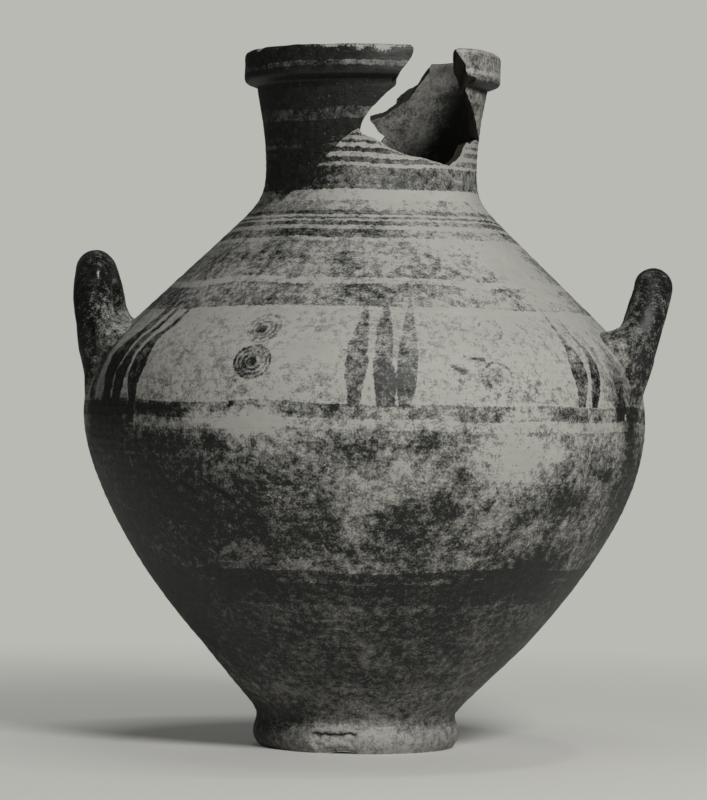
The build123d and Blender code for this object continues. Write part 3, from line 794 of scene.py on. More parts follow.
# Paint kept and width of the pale chipped margin along the breaks in mm, by angle from the front
skins = {
    "left": {"kept": [(-180, 0.1), (-90, 0.45), (-60, 0.55), (-30, 0.62), (-10, 0.5), (0, 0.38),
                      (20, 0.32), (60, 0.1),
                      (180, 0.1)],
             "margin": [(-180, 0.6), (-140, 0.6), (-130, 0.1), (180, 0.1)],
             "rubbedLip": [(-180, 0.3), (-40, 0.1), (-20, 0.35), (-8, 0.5), (17, 0.58), (22, 0.3),
                           (180, 0.3)],
             "lag": [(-180, 0), (-4, 0), (3, -4), (14, -5), (21, -4), (40, 0), (180, 0)],
             "faded": [(-180, 0), (180, 0)]},
    "right": {"kept": [(-180, -0.1), (40, -0.3), (60, -0.28), (80, -0.25), (110, -0.1), (180, -0.1)],
              "margin": [(-180, 1.2), (40, 0.5), (60, 0.5), (90, 0.3), (150, 0.5), (180, 1.2)],
              "rubbedLip": [(-180, 0.4), (40, 0.55), (60, 0.45), (100, 0.3), (180, 0.4)],
              "lag": [(-180, 0), (40, 9), (58, 9), (75, 4), (88, 0), (180, 0)],
              "faded": [(-180, 0), (20, 0), (38, 0.65), (95, 0.65), (125, 0), (180, 0)]},
    "stump": {"kept": [(-180, 0), (-60, 0.15), (-35, 0.1), (-15, -0.12), (10, -0.2), (40, -0.25),
                       (60, -0.4),
                       (90, -0.3), (180, -0.1)],
              "margin": [(-180, 1.5), (-120, 0.1), (-12, 0.1), (-3, 2.6), (8, 2.4), (25, 1.4), (43, 2.0),
                         (52, 5.5), (62, 6.5), (75, 4), (90, 1.5), (150, 1.2), (180, 1.5)],
              "rubbedLip": [(-180, 0), (180, 0)],
              "lag": [(-180, 0), (180, 0)],
              "faded": [(-180, 0), (180, 0)]},
}


def sherd(name, edges, tables):
    turn, rise = breakLine(edges)
    outer, inner = crossings(rise)
    # close both ends over the rim
    top = runLength[topIndex]
    lead = np.linspace(0, 1, fracture["closing"])
    starts, ends = [[np.full(len(ease), turn[k])] + [top + (side[k] - top) * ease for side in (outer,
                                                                                               inner)]
                    for k, ease in ((0, lead), (-1, lead[::-1]))]
    turn, outer, inner = [np.concatenate(run) for run in zip(starts, (turn, outer, inner), ends)]
    turn, outer, inner = spread(turn, outer, inner, fracture["step"])
    count = len(turn)
    # the inner edge of the break lies further round than the outer where the table says so
    lag = np.radians(np.interp(np.degrees(turn), *zip(*tables["lag"])))
    lipStart = runLength[np.argmax(runHeight > jarHeight - jar["lipRound"] / 2)]
    turn, inTurn = [turn + lag * np.clip((run - lipStart) / (top - lipStart), 0, 1)
                    for run in (outer, inner)]
    loopTurn = np.concatenate([turn, inTurn[-2:0:-1]])
    loopRun = np.concatenate([outer, inner[-2:0:-1]])
    flat = np.stack([loopTurn * skinRadius, loopRun], axis=1)
    low, high = flat.min(axis=0), flat.max(axis=0)
    cell = fracture["cell"]
    xs, ys = np.meshgrid(np.arange(low[0], high[0], cell),
                         np.arange(low[1], high[1], cell * fracture["rowShare"]))
    xs[1::2] += cell / 2
    inner2d = np.stack([xs.ravel(), ys.ravel()], axis=1)
    keep = np.zeros(len(inner2d), bool)
    for a, b in zip(flat, np.roll(flat, -1, axis=0)):
        spans = (a[1] > inner2d[:, 1]) != (b[1] > inner2d[:, 1])
        at = a[0] + (inner2d[:, 1] - a[1]) * (b[0] - a[0]) / (b[1] - a[1] + 1e-15)
        keep ^= spans & (inner2d[:, 0] < at)
    inner2d = inner2d[keep]
    near = distanceToBreak(inner2d[:, 0] / skinRadius, inner2d[:, 1], loopTurn, loopRun)
    inner2d = inner2d[near > fracture["clearOfEdge"]]
    corners = [Vector(point) for point in np.concatenate([flat, inner2d]).tolist()]
    rim = [(k, (k + 1) % len(flat)) for k in range(len(flat))]
    made = delaunay_2d_cdt(corners, rim, [list(range(len(flat)))], 1, 1e-9)
    spots = np.array([tuple(point) for point in made[0]])
    triangles = np.array(made[2])
    where = np.full(len(flat), -1)
    for new, olds in enumerate(made[3]):
        for old in olds:
            if old < len(flat):
                where[old] = new
    skinTurn, skinRun = spots[:, 0] / skinRadius, spots[:, 1]
    skinPoints = neckPoint(skinTurn, skinRun)
    rows = fracture["rows"]
    broken = acrossBreak(turn, outer, inTurn, inner, rows)
    outerIds = where[:count]
    innerIds = where[np.concatenate([[0], np.arange(len(flat) - 1, count - 1, -1), [count - 1]])]
    ids = np.zeros((rows + 1, count), np.int64)
    ids[0], ids[rows] = outerIds, innerIds
    middle = broken[1:rows, 1:-1]
    ids[1:rows, 1:-1] = len(skinPoints) + np.arange(middle.size // 3).reshape(middle.shape[:2])
    ids[1:rows, 0], ids[1:rows, -1] = outerIds[0], outerIds[-1]
    points = np.concatenate([skinPoints, middle.reshape(-1, 3)])
    strip = []
    for row in range(rows):
        for column in range(count - 1):
            quad = [ids[row, column], ids[row + 1, column], ids[row + 1, column + 1], ids[row, column + 1]]
            strip.append([int(k) for i, k in enumerate(quad) if k != quad[i - 1]])
    # the strip faces away from the skin's inside
    a, b, c = points[triangles[0]]
    across = Vector(np.cross(b - a, c - a))
    if across.dot(Vector((a[0], a[1], 0))) < 0 and skinRun[triangles[0]].mean() < top:
        triangles = triangles[:, ::-1]
    skinEdges = {(face[i - 1], face[i]) for face in triangles.tolist() for i in range(3)}
    # one edge well along the break tells which way the strip has to turn
    probe = 40
    if (int(outerIds[probe]), int(outerIds[probe - 1])) in skinEdges:
        strip = [face[::-1] for face in strip]
    faces = triangles.tolist() + strip
    faces = [face for face in faces if len(set(face)) > 2]
    skinCount = len(triangles)
    normals = [smoothNormals(points, group) for group in (faces[:skinCount], faces[skinCount:])]
    loops = [normals[0][k] for face in faces[:skinCount] for k in face]
    loops += [normals[1][k] for face in faces[skinCount:] for k in face]
    kinds = np.zeros(len(faces), np.int32)
    kinds[:skinCount] = np.where(skinRun[triangles].mean(axis=1) > top + fracture["insideFrom"], 1, 0)
    kinds[skinCount:] = 2
    away = distanceToBreak(skinTurn, skinRun, loopTurn, loopRun)
    facts = skinFacts(skinTurn, skinRun, tables, away, skinRun < top + fracture["paintUpTo"])
    pad = np.zeros(len(points) - len(skinPoints))
    facts = {fact: np.concatenate([values, pad]) for fact, values in facts.items()}
    return dress(name, points, faces, np.array(loops), [slippedClay, bareInside, brokenClay], kinds, facts,
                 [name])


def smoothNormals(points, faces):
    normals = np.zeros((len(points), 3))
    for size in (3, 4):
        group = np.array([face for face in faces if len(face) == size])
        if len(group):
            corner = points[group]
            cross = np.cross(corner[:, 2] - corner[:, 0], corner[:, size - 1] - corner[:, 1]) if size == 4 \
                else np.cross(corner[:, 1] - corner[:, 0], corner[:, 2] - corner[:, 0])
            for k in range(size):
                np.add.at(normals, group[:, k], cross)
    return normals / np.maximum(np.linalg.norm(normals, axis=1, keepdims=True), 1e-12)


def smoothLoops(points, faces):
    normals = smoothNormals(points, faces)
    return np.array([normals[k] for face in faces for k in face])


def neckStump():
    gap = jar["glueGap"]
    parts = [(breaks["stumpFront"], 0, 0), (breaks["rightJoint"], gap, 0), (breaks["stumpBack"], 0, 0),
             ([(angle + 360, share) for angle, share in breaks["leftJoint"][::-1]], gap, 0)]
    turn, rise = breakLine(parts)
    outer, inner = crossings(rise)
    closing = (turn[0] + 2 * math.pi, outer[0], inner[0])
    turn, outer, inner = [np.append(run, end) for run, end in zip((turn, outer, inner), closing)]
    turn, outer, inner = [values[:-1] for values in spread(turn, outer, inner, fracture["step"])]
    order = np.maximum.accumulate(turn + np.arange(len(turn)) * 1e-6)
    turn = np.minimum(order, turn[0] + 2 * math.pi - 1e-4 * (len(turn) - np.arange(len(turn))) / len(turn))
    outRows = 40
    share = np.linspace(0, 1, outRows + 1)[:, None]
    outerRun = share * outer[None, :]
    grids = [neckPoint(np.broadcast_to(turn, outerRun.shape), outerRun)]
    broken = acrossBreak(turn, outer, turn, inner, fracture["rows"])
    grids.append(broken[1:-1])
    inRows = 12
    share = np.linspace(0, 1, inRows + 1)[:, None]
    innerRun = inner[None, :] * (1 - share) + runLength[-1] * share
    grids.append(neckPoint(np.broadcast_to(turn, innerRun.shape), innerRun))
    grid = np.concatenate(grids)
    rows = len(grid)
    edge = outRows
    far = outRows + fracture["rows"]
    groups = [(0, edge, 0, None), (edge, far, 2, None), (far, rows - 1, 1, None), (rows - 1, rows, 1, None)]
    wide = np.broadcast_to(turn, outerRun.shape)
    away = distanceToBreak(wide.reshape(-1), outerRun.reshape(-1),
                           np.concatenate([turn, turn - 2 * math.pi]),
                           np.concatenate([outer, outer])).reshape(outerRun.shape)
    facts = skinFacts(wide, outerRun, skins["stump"], away, 1.0)
    pad = np.zeros((rows - len(outerRun), len(turn)))
    facts = {fact: np.concatenate([values, pad]) for fact, values in facts.items()}
    return ringPiece("neck_stump", grid, groups, [slippedClay, bareInside, brokenClay], facts,
                     ["neck_stump"])


def glueLine(name, table):
    turn, rise = breakLine([(table, 0, 0)])
    lowTurn, lowRise = breakLine([(table, jar["glueGap"], 0)])
    outer, inner = crossings(rise)
    lowOuter, lowInner = crossings(lowRise)
    # the glue stays a little below the skin on both sides of the wall
    grid = np.stack([roundJarOut(turn, run, -fracture["glueSunk"]) for run in (outer, lowOuter, lowInner,
                                                                               inner)])
    rows, columns = grid.shape[:2]
    faces = []
    for row in range(rows):
        for column in range(columns - 1):
            low, high = row * columns + column, (row + 1) % rows * columns + column
            faces.append([low, high, high + 1, low + 1])
    faces.append([row * columns for row in range(rows)][::-1])
    faces.append([row * columns + columns - 1 for row in range(rows)])
    if turn[-1] < turn[0]:
        faces = [face[::-1] for face in faces]
    points = grid.reshape(-1, 3)
    return dress(name, points, faces, smoothLoops(points, faces), [mendingGlue],
                 np.zeros(len(faces), np.int32), {}, [name])


def roundJarOut(turn, run, proud):
    # a skin point moved out of or into the wall
    outR, outZ = neckOutward(run)
    return neckPoint(turn, run) + roundJar(turn, outR * proud, outZ * proud)


# Handles: round coils bent into upright loops, their roots drawn down the wall
handles = {
    "left": {"side": -1, "reach": 0.2783, "top": 0.479, "lean": 7.0,
             "tail": [(0.391, 0.0205), (0.380, 0.0125), (0.371, 0.0070), (0.358, 0.003), (0.344, 0.0005),
                      (0.330, -0.002), (0.316, -0.006)],
             "swellFrom": 0.362, "rootTone": ((0.33, 1.0), (0.36, 0.7), (0.42, 0.36)),
             "sheen": 1.0, "dark": 1.2, "wear": 1.22,
             "web": [(0.440, 0.0), (0.430, 0.003), (0.423, 0.010), (0.417, 0.022), (0.410, 0.033),
                     (0.395, 0.026), (0.378, 0.010), (0.360, 0.0)]},
    "right": {"side": 1, "reach": 0.288, "top": 0.469, "lean": 15.0,
              "tail": [(0.395, 0.0297), (0.380, 0.0172), (0.367, 0.0085), (0.355, 0.003), (0.335, -0.002),
                       (0.320, -0.006)],
              "swellFrom": 0.368, "rootTone": ((0.33, 1.0), (0.36, 0.9), (0.385, 0.75), (0.42, 0.42)),
              "sheen": 0.1, "dark": 0.98, "wear": 0.7,
              "web": [(0.428, 0.0), (0.421, 0.002), (0.415, 0.009), (0.410, 0.021), (0.404, 0.033),
                      (0.390, 0.026), (0.375, 0.010), (0.360, 0.0)]},
}
# The coil's lumps are size, seed and height. Wear and change of skin follow the height along the root.
coil = {
    "radius": 0.0192, "loop": 0.060, "columns": 56, "step": 0.0026,
    "lumps": [(0.03, 71, 0.0009), (0.012, 72, 0.00035), (0.005, 73, 0.00015)],
    "rootWear": [(0.335, 0), (0.36, 0.5), (0.40, 0.66), (0.44, 0.46), (0.465, 0.05)],
    "onWall": [(0.345, 1), (0.375, 0)],
}
luting = {
    "fillet": 0.0075, "reach": 0.010, "sink": 0.0012, "cell": 0.0016, "low": 0.322, "high": 0.455,
    "columns": 34, "rootRadius": 0.2735, "wallRadius": 0.262, "thick": 0.004, "soft": 0.012, "rise": 0.03,
    "lump": 0.0005, "edgeCells": 8,
}


def limbLine(handle):
    # centre line of one limb, from the top of the arch down into the wall: x and z at y 0
    tilt = math.radians(handle["lean"])
    side = handle["side"]
    climb = np.array((side * math.sin(tilt), math.cos(tilt)))
    centre = np.array((side * handle["reach"], handle["top"])) - climb * coil["loop"]
    return climb, centre


def handlePath(handle):
    side = handle["side"]
    climb, centre = limbLine(handle)
    tailZ = np.array([z for z, proud in handle["tail"]])
    proud = np.array([p for z, p in handle["tail"]])
    wall = np.sqrt(radiusAt(outside, tailZ)**2 - coil["loop"]**2)
    tailX = side * (wall + proud - coil["radius"]) + leanedCentre(tailZ)
    rootRun = (centre[1] - tailZ[0]) / climb[1]
    half = []
    for turn in np.linspace(90, 0, 16):
        angle = math.radians(turn)
        run = climb * coil["loop"] * math.sin(angle) + centre
        half.append((run[0], coil["loop"] * math.cos(angle), run[1]))
    for run in np.linspace(0, rootRun, 5)[1:-1]:
        x, z = centre - climb * run
        half.append((x, coil["loop"], z))
    for x, z in zip(tailX, tailZ):
        half.append((x, coil["loop"], z))
    half = np.array(half)
    other = half[::-1] * (1, -1, 1)
    return smoothRun(np.concatenate([other[:-1], half]), coil["step"])


def smoothRun(points, step):
    # rounds a run of points and spaces them evenly
    for again in range(3):
        cut = np.concatenate([[points[0]], points[:-1] * 0.75 + points[1:] * 0.25,
                              points[:-1] * 0.25 + points[1:] * 0.75, [points[-1]]])
        order = np.concatenate([[0], np.ravel(np.column_stack([np.arange(1, len(points)),
                                np.arange(len(points), 2 * len(points) - 1)])), [len(cut) - 1]])
        points = cut[order]
    length = runLengths(points)
    even = np.linspace(0, length[-1], round(length[-1] / step))
    return np.stack([np.interp(even, length, points[:, k]) for k in range(3)], axis=1)


def makeHandle(name, handle):
    path = handlePath(handle)
    along = np.gradient(path, axis=0)
    along /= np.linalg.norm(along, axis=1, keepdims=True)
    climb, centre = limbLine(handle)
    out = np.array((climb[1], 0, -climb[0])) * handle["side"]
    sideways = np.cross(along, out)
    sideways /= np.linalg.norm(sideways, axis=1, keepdims=True)
    outward = np.cross(sideways, along)
    rows, columns = len(path), coil["columns"]
    ring = np.arange(columns) * 2 * math.pi / columns
    grid = (path[:, None] + coil["radius"] * (np.cos(ring)[None, :, None] * outward[:, None]
                                             + np.sin(ring)[None, :, None] * sideways[:, None]))
    normal = (grid - path[:, None]) / coil["radius"]
    low = sum(lumps(grid, size, seed) * rise for size, seed, rise in coil["lumps"])
    ends = np.minimum(np.arange(rows), np.arange(rows)[::-1]) * coil["step"] / coil["radius"]
    dome = np.sqrt(np.clip(1 - (1 - np.clip(ends, 0, 1))**2, 0, 1))[:, None]
    webZ, webOut = np.array(handle["web"][::-1]).T
    web = np.interp(path[:, 2], webZ, webOut)[:, None] * np.clip(-np.cos(ring), 0, 1)[None, :] ** 0.7
    grid = path[:, None] + normal * ((coil["radius"] + low + web) * np.maximum(dome, 0.03))[..., None]
    points = np.concatenate([grid.reshape(-1, 3), [path[0]], [path[-1]]])
    faces = ringFaces(rows, columns, False).tolist()
    start, end = rows * columns, rows * columns + 1
    faces += [[start, (k + 1) % columns, k] for k in range(columns)]
    base = (rows - 1) * columns
    faces += [[end, base + k, base + (k + 1) % columns] for k in range(columns)]
    corner = points[np.array(faces[rows // 2 * columns][:3])]
    across = np.cross(corner[1] - corner[0], corner[2] - corner[0])
    if across @ normal[rows // 2, 0] < 0:
        faces = [face[::-1] for face in faces]
    loops = smoothLoops(points, faces)
    height = points[:, 2]
    # worn to speckle on the side towards the jar, near the root
    centreLine = np.interp(height, path[:, 2][::-1][:rows // 2], np.abs(path[:, 0][::-1][:rows // 2]))
    inward = np.clip((centreLine - points[:, 0] * handle["side"]) / coil["radius"] * 0.7 + 0.4, 0, 1.1)
    rootward = np.interp(height, *zip(*coil["rootWear"]))
    onWall = np.interp(height, *zip(*coil["onWall"]))
    wallFacts = paintFacts(np.arctan2(points[:, 0], -points[:, 1]), height)
    facts = {"offBand": 1 - onWall, "ownDark": handle["dark"] - handle["wear"] * inward * rootward,
             "sheen": (1 - onWall) * handle["sheen"], "strokeGap": np.full(len(points), noStroke),
             "paintKeptAndShade": wallFacts["paintKeptAndShade"] * onWall}
    dress(name, points, faces, loops, [slippedClay], np.zeros(len(faces), np.int32), facts, [name])
    return path


def makeLuting(name, handle, path):
    # clay smeared round both roots: a skin over the wall that swells to meet the coil
    side = handle["side"]
    middle = math.asin(coil["loop"] / luting["rootRadius"])
    grids, faceSets, factSets = [], [], []
    start = 0
    for limb in (-1, 1):
        centre = side * (math.pi / 2 + limb * middle)
        heights = rowsAlong(outside, [luting["low"], luting["high"]], luting["cell"])[0]
        columns = np.arange(-luting["columns"], luting["columns"] + 1)
        turn = centre + columns * luting["cell"] / luting["wallRadius"]
        height, turn = np.meshgrid(heights, turn, indexing="ij")
        outR, outZ = outwardAt(outside, height)
        radius = radiusAt(outside, height)
        seen = turn + leanedCentre(height) * np.cos(turn) / radius
        surface = relief(seen, height)
        bare = roundJar(turn, radius, height)
        bare[..., 0] += leanedCentre(height)
        near = path[path[:, 1] * limb > 0]
        reach = bare[:, :, None, :] - near[None, None, ::2, :]
        gap = np.linalg.norm(reach, axis=3).min(axis=2) - coil["radius"]
        swell = luting["fillet"] * np.exp(-np.clip(gap, 0, 1) / luting["reach"])
        swell += luting["lump"] * lumps(bare, luting["soft"], 81) * np.exp(-np.abs(gap) / luting["soft"])
        fromEdge = [np.minimum(np.arange(count), np.arange(count)[::-1]) for count in height.shape]
        fade = np.clip(np.minimum(fromEdge[0][:, None], fromEdge[1][None, :]) / luting["edgeCells"], 0, 1)
        fade = fade * np.clip((height - handle["swellFrom"]) / luting["rise"], 0, 1)
        proud = surface + swell * fade - luting["sink"]
        top = roundJar(turn, radius + outR * proud, height + outZ * proud)
        under = roundJar(turn, radius - outR * luting["thick"], height - outZ * luting["thick"])
        for face in (top, under):
            face[..., 0] += leanedCentre(height)
        rows, columns = height.shape
        count = rows * columns
        faces = ringFaces(rows, columns, False)
        faces = faces.reshape(rows - 1, columns, 4)[:, :-1].reshape(-1, 4)
        lower = faces[:, ::-1] + count
        border = [(0, c) for c in range(columns)] + [(r, columns - 1) for r in range(1, rows)]
        border += [(rows - 1, c) for c in range(columns - 2, -1, -1)] + [(r, 0) for r in range(rows - 2,
                                                                                               0, -1)]
        ids = np.array([r * columns + c for r, c in border])
        wallFaces = np.stack([np.roll(ids, -1), ids, ids + count, np.roll(ids, -1) + count], axis=1)
        grids.append(np.concatenate([top.reshape(-1, 3), under.reshape(-1, 3)]))
        faceSets.append(np.concatenate([faces, lower, wallFaces]) + start)
        facts = paintFacts(seen, height)
        onCoil = np.clip(1 - gap / luting["soft"], 0, 1)
        facts["offBand"] = onCoil
        facts["sheen"] = onCoil * handle["sheen"]
        facts["ownDark"] = np.interp(height, *zip(*handle["rootTone"]))
        factSets.append({k: np.concatenate([v.reshape(-1), v.reshape(-1) * 0]) for k, v in facts.items()})
        start += 2 * count
    points = np.concatenate(grids)
    faces = np.concatenate(faceSets)
    corner = points[faces[0]]
    if np.cross(corner[1] - corner[0], corner[2] - corner[0]) @ (corner[0] * (1, 1, 0)) < 0:
        faces = faces[:, ::-1]
    faces = faces.tolist()
    loops = smoothLoops(points, faces)
    facts = {k: np.concatenate([part[k] for part in factSets]) for k in factSets[0]}
    dress(name, points, faces, loops, [slippedClay], np.zeros(len(faces), np.int32), facts, [name])


# Colours are written as sRGB hex and turned linear here
def hexColour(text):
    parts = [int(text[k:k + 2], 16) / 255 for k in (1, 3, 5)]
    return tuple(c / 12.92 if c <= 0.04045 else ((c + 0.055) / 1.055) ** 2.4 for c in parts) + (1.0,)


def newMaterial(name):
    material = bpy.data.materials.new(name)
    material.use_nodes = True
    material.node_tree.nodes.clear()
    return material


def add(owner, kind, inputs=(), **settings):
    # adds a node to a material or world: an input is a value, an output, or a node for its first output
    tree = owner.node_tree
    node = tree.nodes.new("ShaderNode" + kind)
    for key, value in settings.items():
        setattr(node, key, value)
    for key, value in (inputs.items() if isinstance(inputs, dict) else enumerate(inputs)):
        if isinstance(value, bpy.types.Node):
            value = value.outputs[0]
        if isinstance(value, bpy.types.NodeSocket):
            tree.links.new(value, node.inputs[key])
        else:
            node.inputs[key].default_value = value
    return node


# A band's darkness is stored as a share of the darkest
darkest = 1.3
# Painted bands from the floor up: (starts at this height in mm, darkness, evenness)
bands = {
    "body": [
        (0, 0.28, 0.45), (24, 0.40, 0.4), (29, 0.58, 0.4), (37, 0.62, 0.4), (50, 0.68, 0.4),
        (68, 0.80, 0.4),
        (152, 0.98, 0.4), (172.8, 0.78, 0.2), (177.7, 0.94, 0.3), (185, 0.56, 0.0), (294, 0.44, 0.0),
        (308, 0.34, 0.0), (320, 0.10, 0.1), (331.5, 0.50, 0.0), (346, 0.04, 0.15), (370, 0.02, 0.45),
        (436.2, 0.48, 0.0), (459.9, 0.08, 0.3), (466.3, 0.44, 0.0), (493.4, 0.32, 0.2), (503.8, 0.12, 0.2),
        (507.7, 0.60, 0.0), (516.8, 0.10, 0.2), (520.5, 0.68, 0.2), (523.4, 0.15, 0.2), (525.7, 0.70, 0.2),
        (528.7, 0.10, 0.2),
    ],
    "neck": [
        (528.7, 0.10, 0.2), (531.4, 0.72, 0.2), (536, 0.32, 0.2), (546.3, 0.06, 0.3), (557.5, 0.80, 0.1),
        (581.4, 0.18, 0.5), (584.6, 0.85, 0.4), (589.8, 0.16, 0.5), (594.9, 0.88, 0.4), (599, 0.14, 0.5),
        (603, 0.88, 0.4), (606.3, 0.32, 0.6), (610, 0.98, 0.5), (626.5, 0.30, 0.6), (638.4, 1.05, 0.5),
        (651, 0.75, 0.6), (654.9, 1.08, 0.5), (670.6, 0.82, 0.6), (675.2, 1.05, 0.5), (678.3, 0.22, 0.6),
        (683, 1.0, 0.5),
    ],
}


# Coarse earthenware, thrown and coil built, dipped in pale slip and banded in iron-rich paint:
# the eye sees matte chalky slip, thin dark paint worn to speckle and streaks, fine grit
def makeSlippedClay():
    m = newMaterial("earthenware, pale slip and worn iron paint")
    place = add(m, "TexCoord").outputs["Object"]
    axes = add(m, "SeparateXYZ", [place]).outputs
    grain = {}
    for name, size, detail in (("sway", 120, 1), ("edge", 5, 2), ("speck", 2.0, 2), ("fleck", 7, 3),
                               ("patch", 32, 4)):
        grain[name] = add(m, "TexNoise", {"Vector": place, "Scale": 1000 / size, "Detail": detail},
                          noise_dimensions="3D").outputs["Fac"]
    squash = add(m, "Mapping", {"Vector": place, "Scale": (1, 1, 9)})
    grain["streak"] = add(m, "TexNoise", {"Vector": squash, "Scale": 1000 / 26, "Detail": 3}).outputs["Fac"]
    wobble = add(m, "Math", [add(m, "Math", [grain["sway"], 0.5], operation="SUBTRACT"), 0.012],
                 operation="MULTIPLY")
    ragged = add(m, "Math", [add(m, "Math", [grain["edge"], 0.5], operation="SUBTRACT"), 0.0045],
                 operation="MULTIPLY")
    height = add(m, "Math", [add(m, "Math", [axes[2], wobble]), ragged])
    lowPart = add(m, "MapRange", [height, 0, 0.5315, 0, 1])
    highPart = add(m, "MapRange", [height, 0.5287, 0.7, 0, 1])
    body = add(m, "ValToRGB", [lowPart])
    fillRamp(body, bands["body"], 0, 531.5)
    neck = add(m, "ValToRGB", [highPart])
    fillRamp(neck, bands["neck"], 528.7, 700)
    onNeck = add(m, "Math", [height, 0.531], operation="GREATER_THAN")
    both = add(m, "Mix", {0: onNeck, "A": body, "B": neck}, data_type="RGBA")
    parts = add(m, "SeparateColor", [both.outputs["Result"]]).outputs
    bandDark = add(m, "Math", [parts[0], darkest], operation="MULTIPLY")
    fact = {name: add(m, "Attribute", attribute_name=name).outputs["Fac"]
            for name in ("strokeGap", "strokeTone", "paintKeptAndShade", "bareClay", "offBand", "ownDark", "sheen")}
    rough = add(m, "Math", [add(m, "Math", [grain["edge"], 0.5], operation="SUBTRACT"), 4.0],
                operation="MULTIPLY")
    inStroke = add(m, "MapRange", [add(m, "Math", [fact["strokeGap"], rough]), -0.7, 0.7, 0, 1])
    strokeDark = add(m, "Math", [inStroke, fact["strokeTone"]], operation="MULTIPLY")
    drawn = add(m, "Math", [bandDark, strokeDark], operation="MAXIMUM")
    own = add(m, "Math", [fact["ownDark"], fact["offBand"]], operation="MULTIPLY")
    onBand = add(m, "Math", [1.0, fact["offBand"]], operation="SUBTRACT")
    banded = add(m, "Math", [drawn, onBand], operation="MULTIPLY")
    dark = add(m, "Math", [add(m, "Math", [own, banded]), fact["paintKeptAndShade"]])
    # worn paint: lumpy noise at four sizes thins the film
    wear = 0
    for name, share in (("speck", 1.45), ("fleck", 1.6), ("patch", 1.2), ("streak", 0.5)):
        piece = add(m, "Math", [add(m, "Math", [grain[name], 0.5], operation="SUBTRACT"), share],
                    operation="MULTIPLY")
        if name == "streak":
            piece = add(m, "Math", [piece, onBand], operation="MULTIPLY")
        wear = piece if name == "speck" else add(m, "Math", [wear, piece])
    bandEven = add(m, "Math", [parts[1], onBand], operation="MULTIPLY")
    inPaint = add(m, "Math", [inStroke, 0.8], operation="MULTIPLY")
    evenShare = add(m, "Math", [0.85, inPaint], operation="SUBTRACT")
    evenness = add(m, "Math", [bandEven, evenShare], operation="MULTIPLY")
    contrast = add(m, "Math", [1.05, evenness], operation="SUBTRACT")
    film = add(m, "Math", [dark, add(m, "Math", [wear, contrast], operation="MULTIPLY")],
               operation="SUBTRACT", use_clamp=True)
    slip = add(m, "Mix", {0: grain["patch"], "A": hexColour(clay["slip"]),
                          "B": hexColour(clay["slipStained"])},
               data_type="RGBA").outputs["Result"]
    mottle = add(m, "MapRange", [add(m, "Math", [grain["fleck"], grain["speck"]]), 0.85, 1.2, 0, 1])
    paint = add(m, "Mix", {0: mottle, "A": hexColour(clay["paint"]), "B": hexColour(clay["paintThin"])},
                data_type="RGBA").outputs["Result"]
    # a thin film already hides most of the slip
    bareShare = add(m, "Math", [add(m, "Math", [1.0, film], operation="SUBTRACT"), 1.45], operation="POWER")
    cover = add(m, "Math", [1.0, bareShare], operation="SUBTRACT")
    painted = add(m, "Mix", {0: cover, "A": slip, "B": paint}, data_type="RGBA").outputs["Result"]
    speckle = add(m, "Math", [add(m, "Math", [grain["speck"], 0.5], operation="SUBTRACT"), 1.6],
                  operation="MULTIPLY")
    chips = add(m, "Math", [fact["bareClay"], speckle], use_clamp=True)
    worn = add(m, "MapRange", [chips, 0.3, 0.7, 0, 1])
    colour = add(m, "Mix", {0: worn, "A": painted, "B": hexColour(clay["abraded"])},
                 data_type="RGBA").outputs["Result"]
    gloss = add(m, "MapRange", [fact["sheen"], 0, 1, clay["paintRoughness"], clay["coilRoughness"]])
    whole = add(m, "Math", [film, add(m, "Math", [1.0, worn], operation="SUBTRACT")], operation="MULTIPLY")
    shine = add(m, "MapRange", [whole, 0, 1, clay["slipRoughness"], gloss])
    grit = add(m, "TexNoise", {"Vector": place, "Scale": 1000 / clay["grit"], "Detail": 4}).outputs["Fac"]
    lines = add(m, "Mapping", {"Vector": place, "Scale": (1, 1, 14)})
    wheel = add(m, "TexNoise", {"Vector": lines, "Scale": 1000 / 30, "Detail": 3}).outputs["Fac"]
    # where the coil was burnished the grit and wheel marks fade
    smooth = add(m, "MapRange", [fact["sheen"], 0, 1, 1, 0.15])
    gritStrength = add(m, "Math", [add(m, "MapRange", [film, 0, 1, 0.4, 0.12]), smooth],
                       operation="MULTIPLY")
    wheelStrength = add(m, "Math", [smooth, 0.5], operation="MULTIPLY")
    wearStrength = add(m, "Math", [smooth, 0.2], operation="MULTIPLY")
    bump = add(m, "Bump", {"Height": grit, "Strength": gritStrength, "Distance": 0.0006})
    bump = add(m, "Bump", {"Height": wheel, "Strength": wheelStrength, "Distance": 0.0005, "Normal": bump})
    bump = add(m, "Bump", {"Height": wear, "Strength": wearStrength, "Distance": 0.0006, "Normal": bump})
    shader = add(m, "BsdfPrincipled", {"Base Color": colour, "Roughness": shine, "Normal": bump,
                                       "IOR": clay["ior"]})
    add(m, "OutputMaterial", [shader])
    return m


def fillRamp(node, stops, low, high):
    ramp = node.color_ramp
    ramp.interpolation = "CONSTANT"
    while len(ramp.elements) > 1:
        ramp.elements.remove(ramp.elements[-1])
    for k, (start, dark, even) in enumerate(stops):
        place = (start - low) / (high - low)
        stop = ramp.elements[0] if k == 0 else ramp.elements.new(place)
        stop.position = place
        stop.color = (dark / darkest, even, 0, 1)


clay = {
    "slip": "#B7B6AF", "slipStained": "#A09F98", "paint": "#11110F", "paintThin": "#282723",
    # the broken core colours are the clay's dark core, darkened further as painted shade
    "abraded": "#A5A49D", "inside": "#9C9B93", "insideDark": "#3C3B37", "brokenCoreShaded": "#37342E",
    "brokenCoreDarkShaded": "#1E1C19", "glue": "#23201B",
    "slipRoughness": 0.88, "paintRoughness": 0.5, "coilRoughness": 0.18, "ior": 1.42, "grit": 1.4,
}
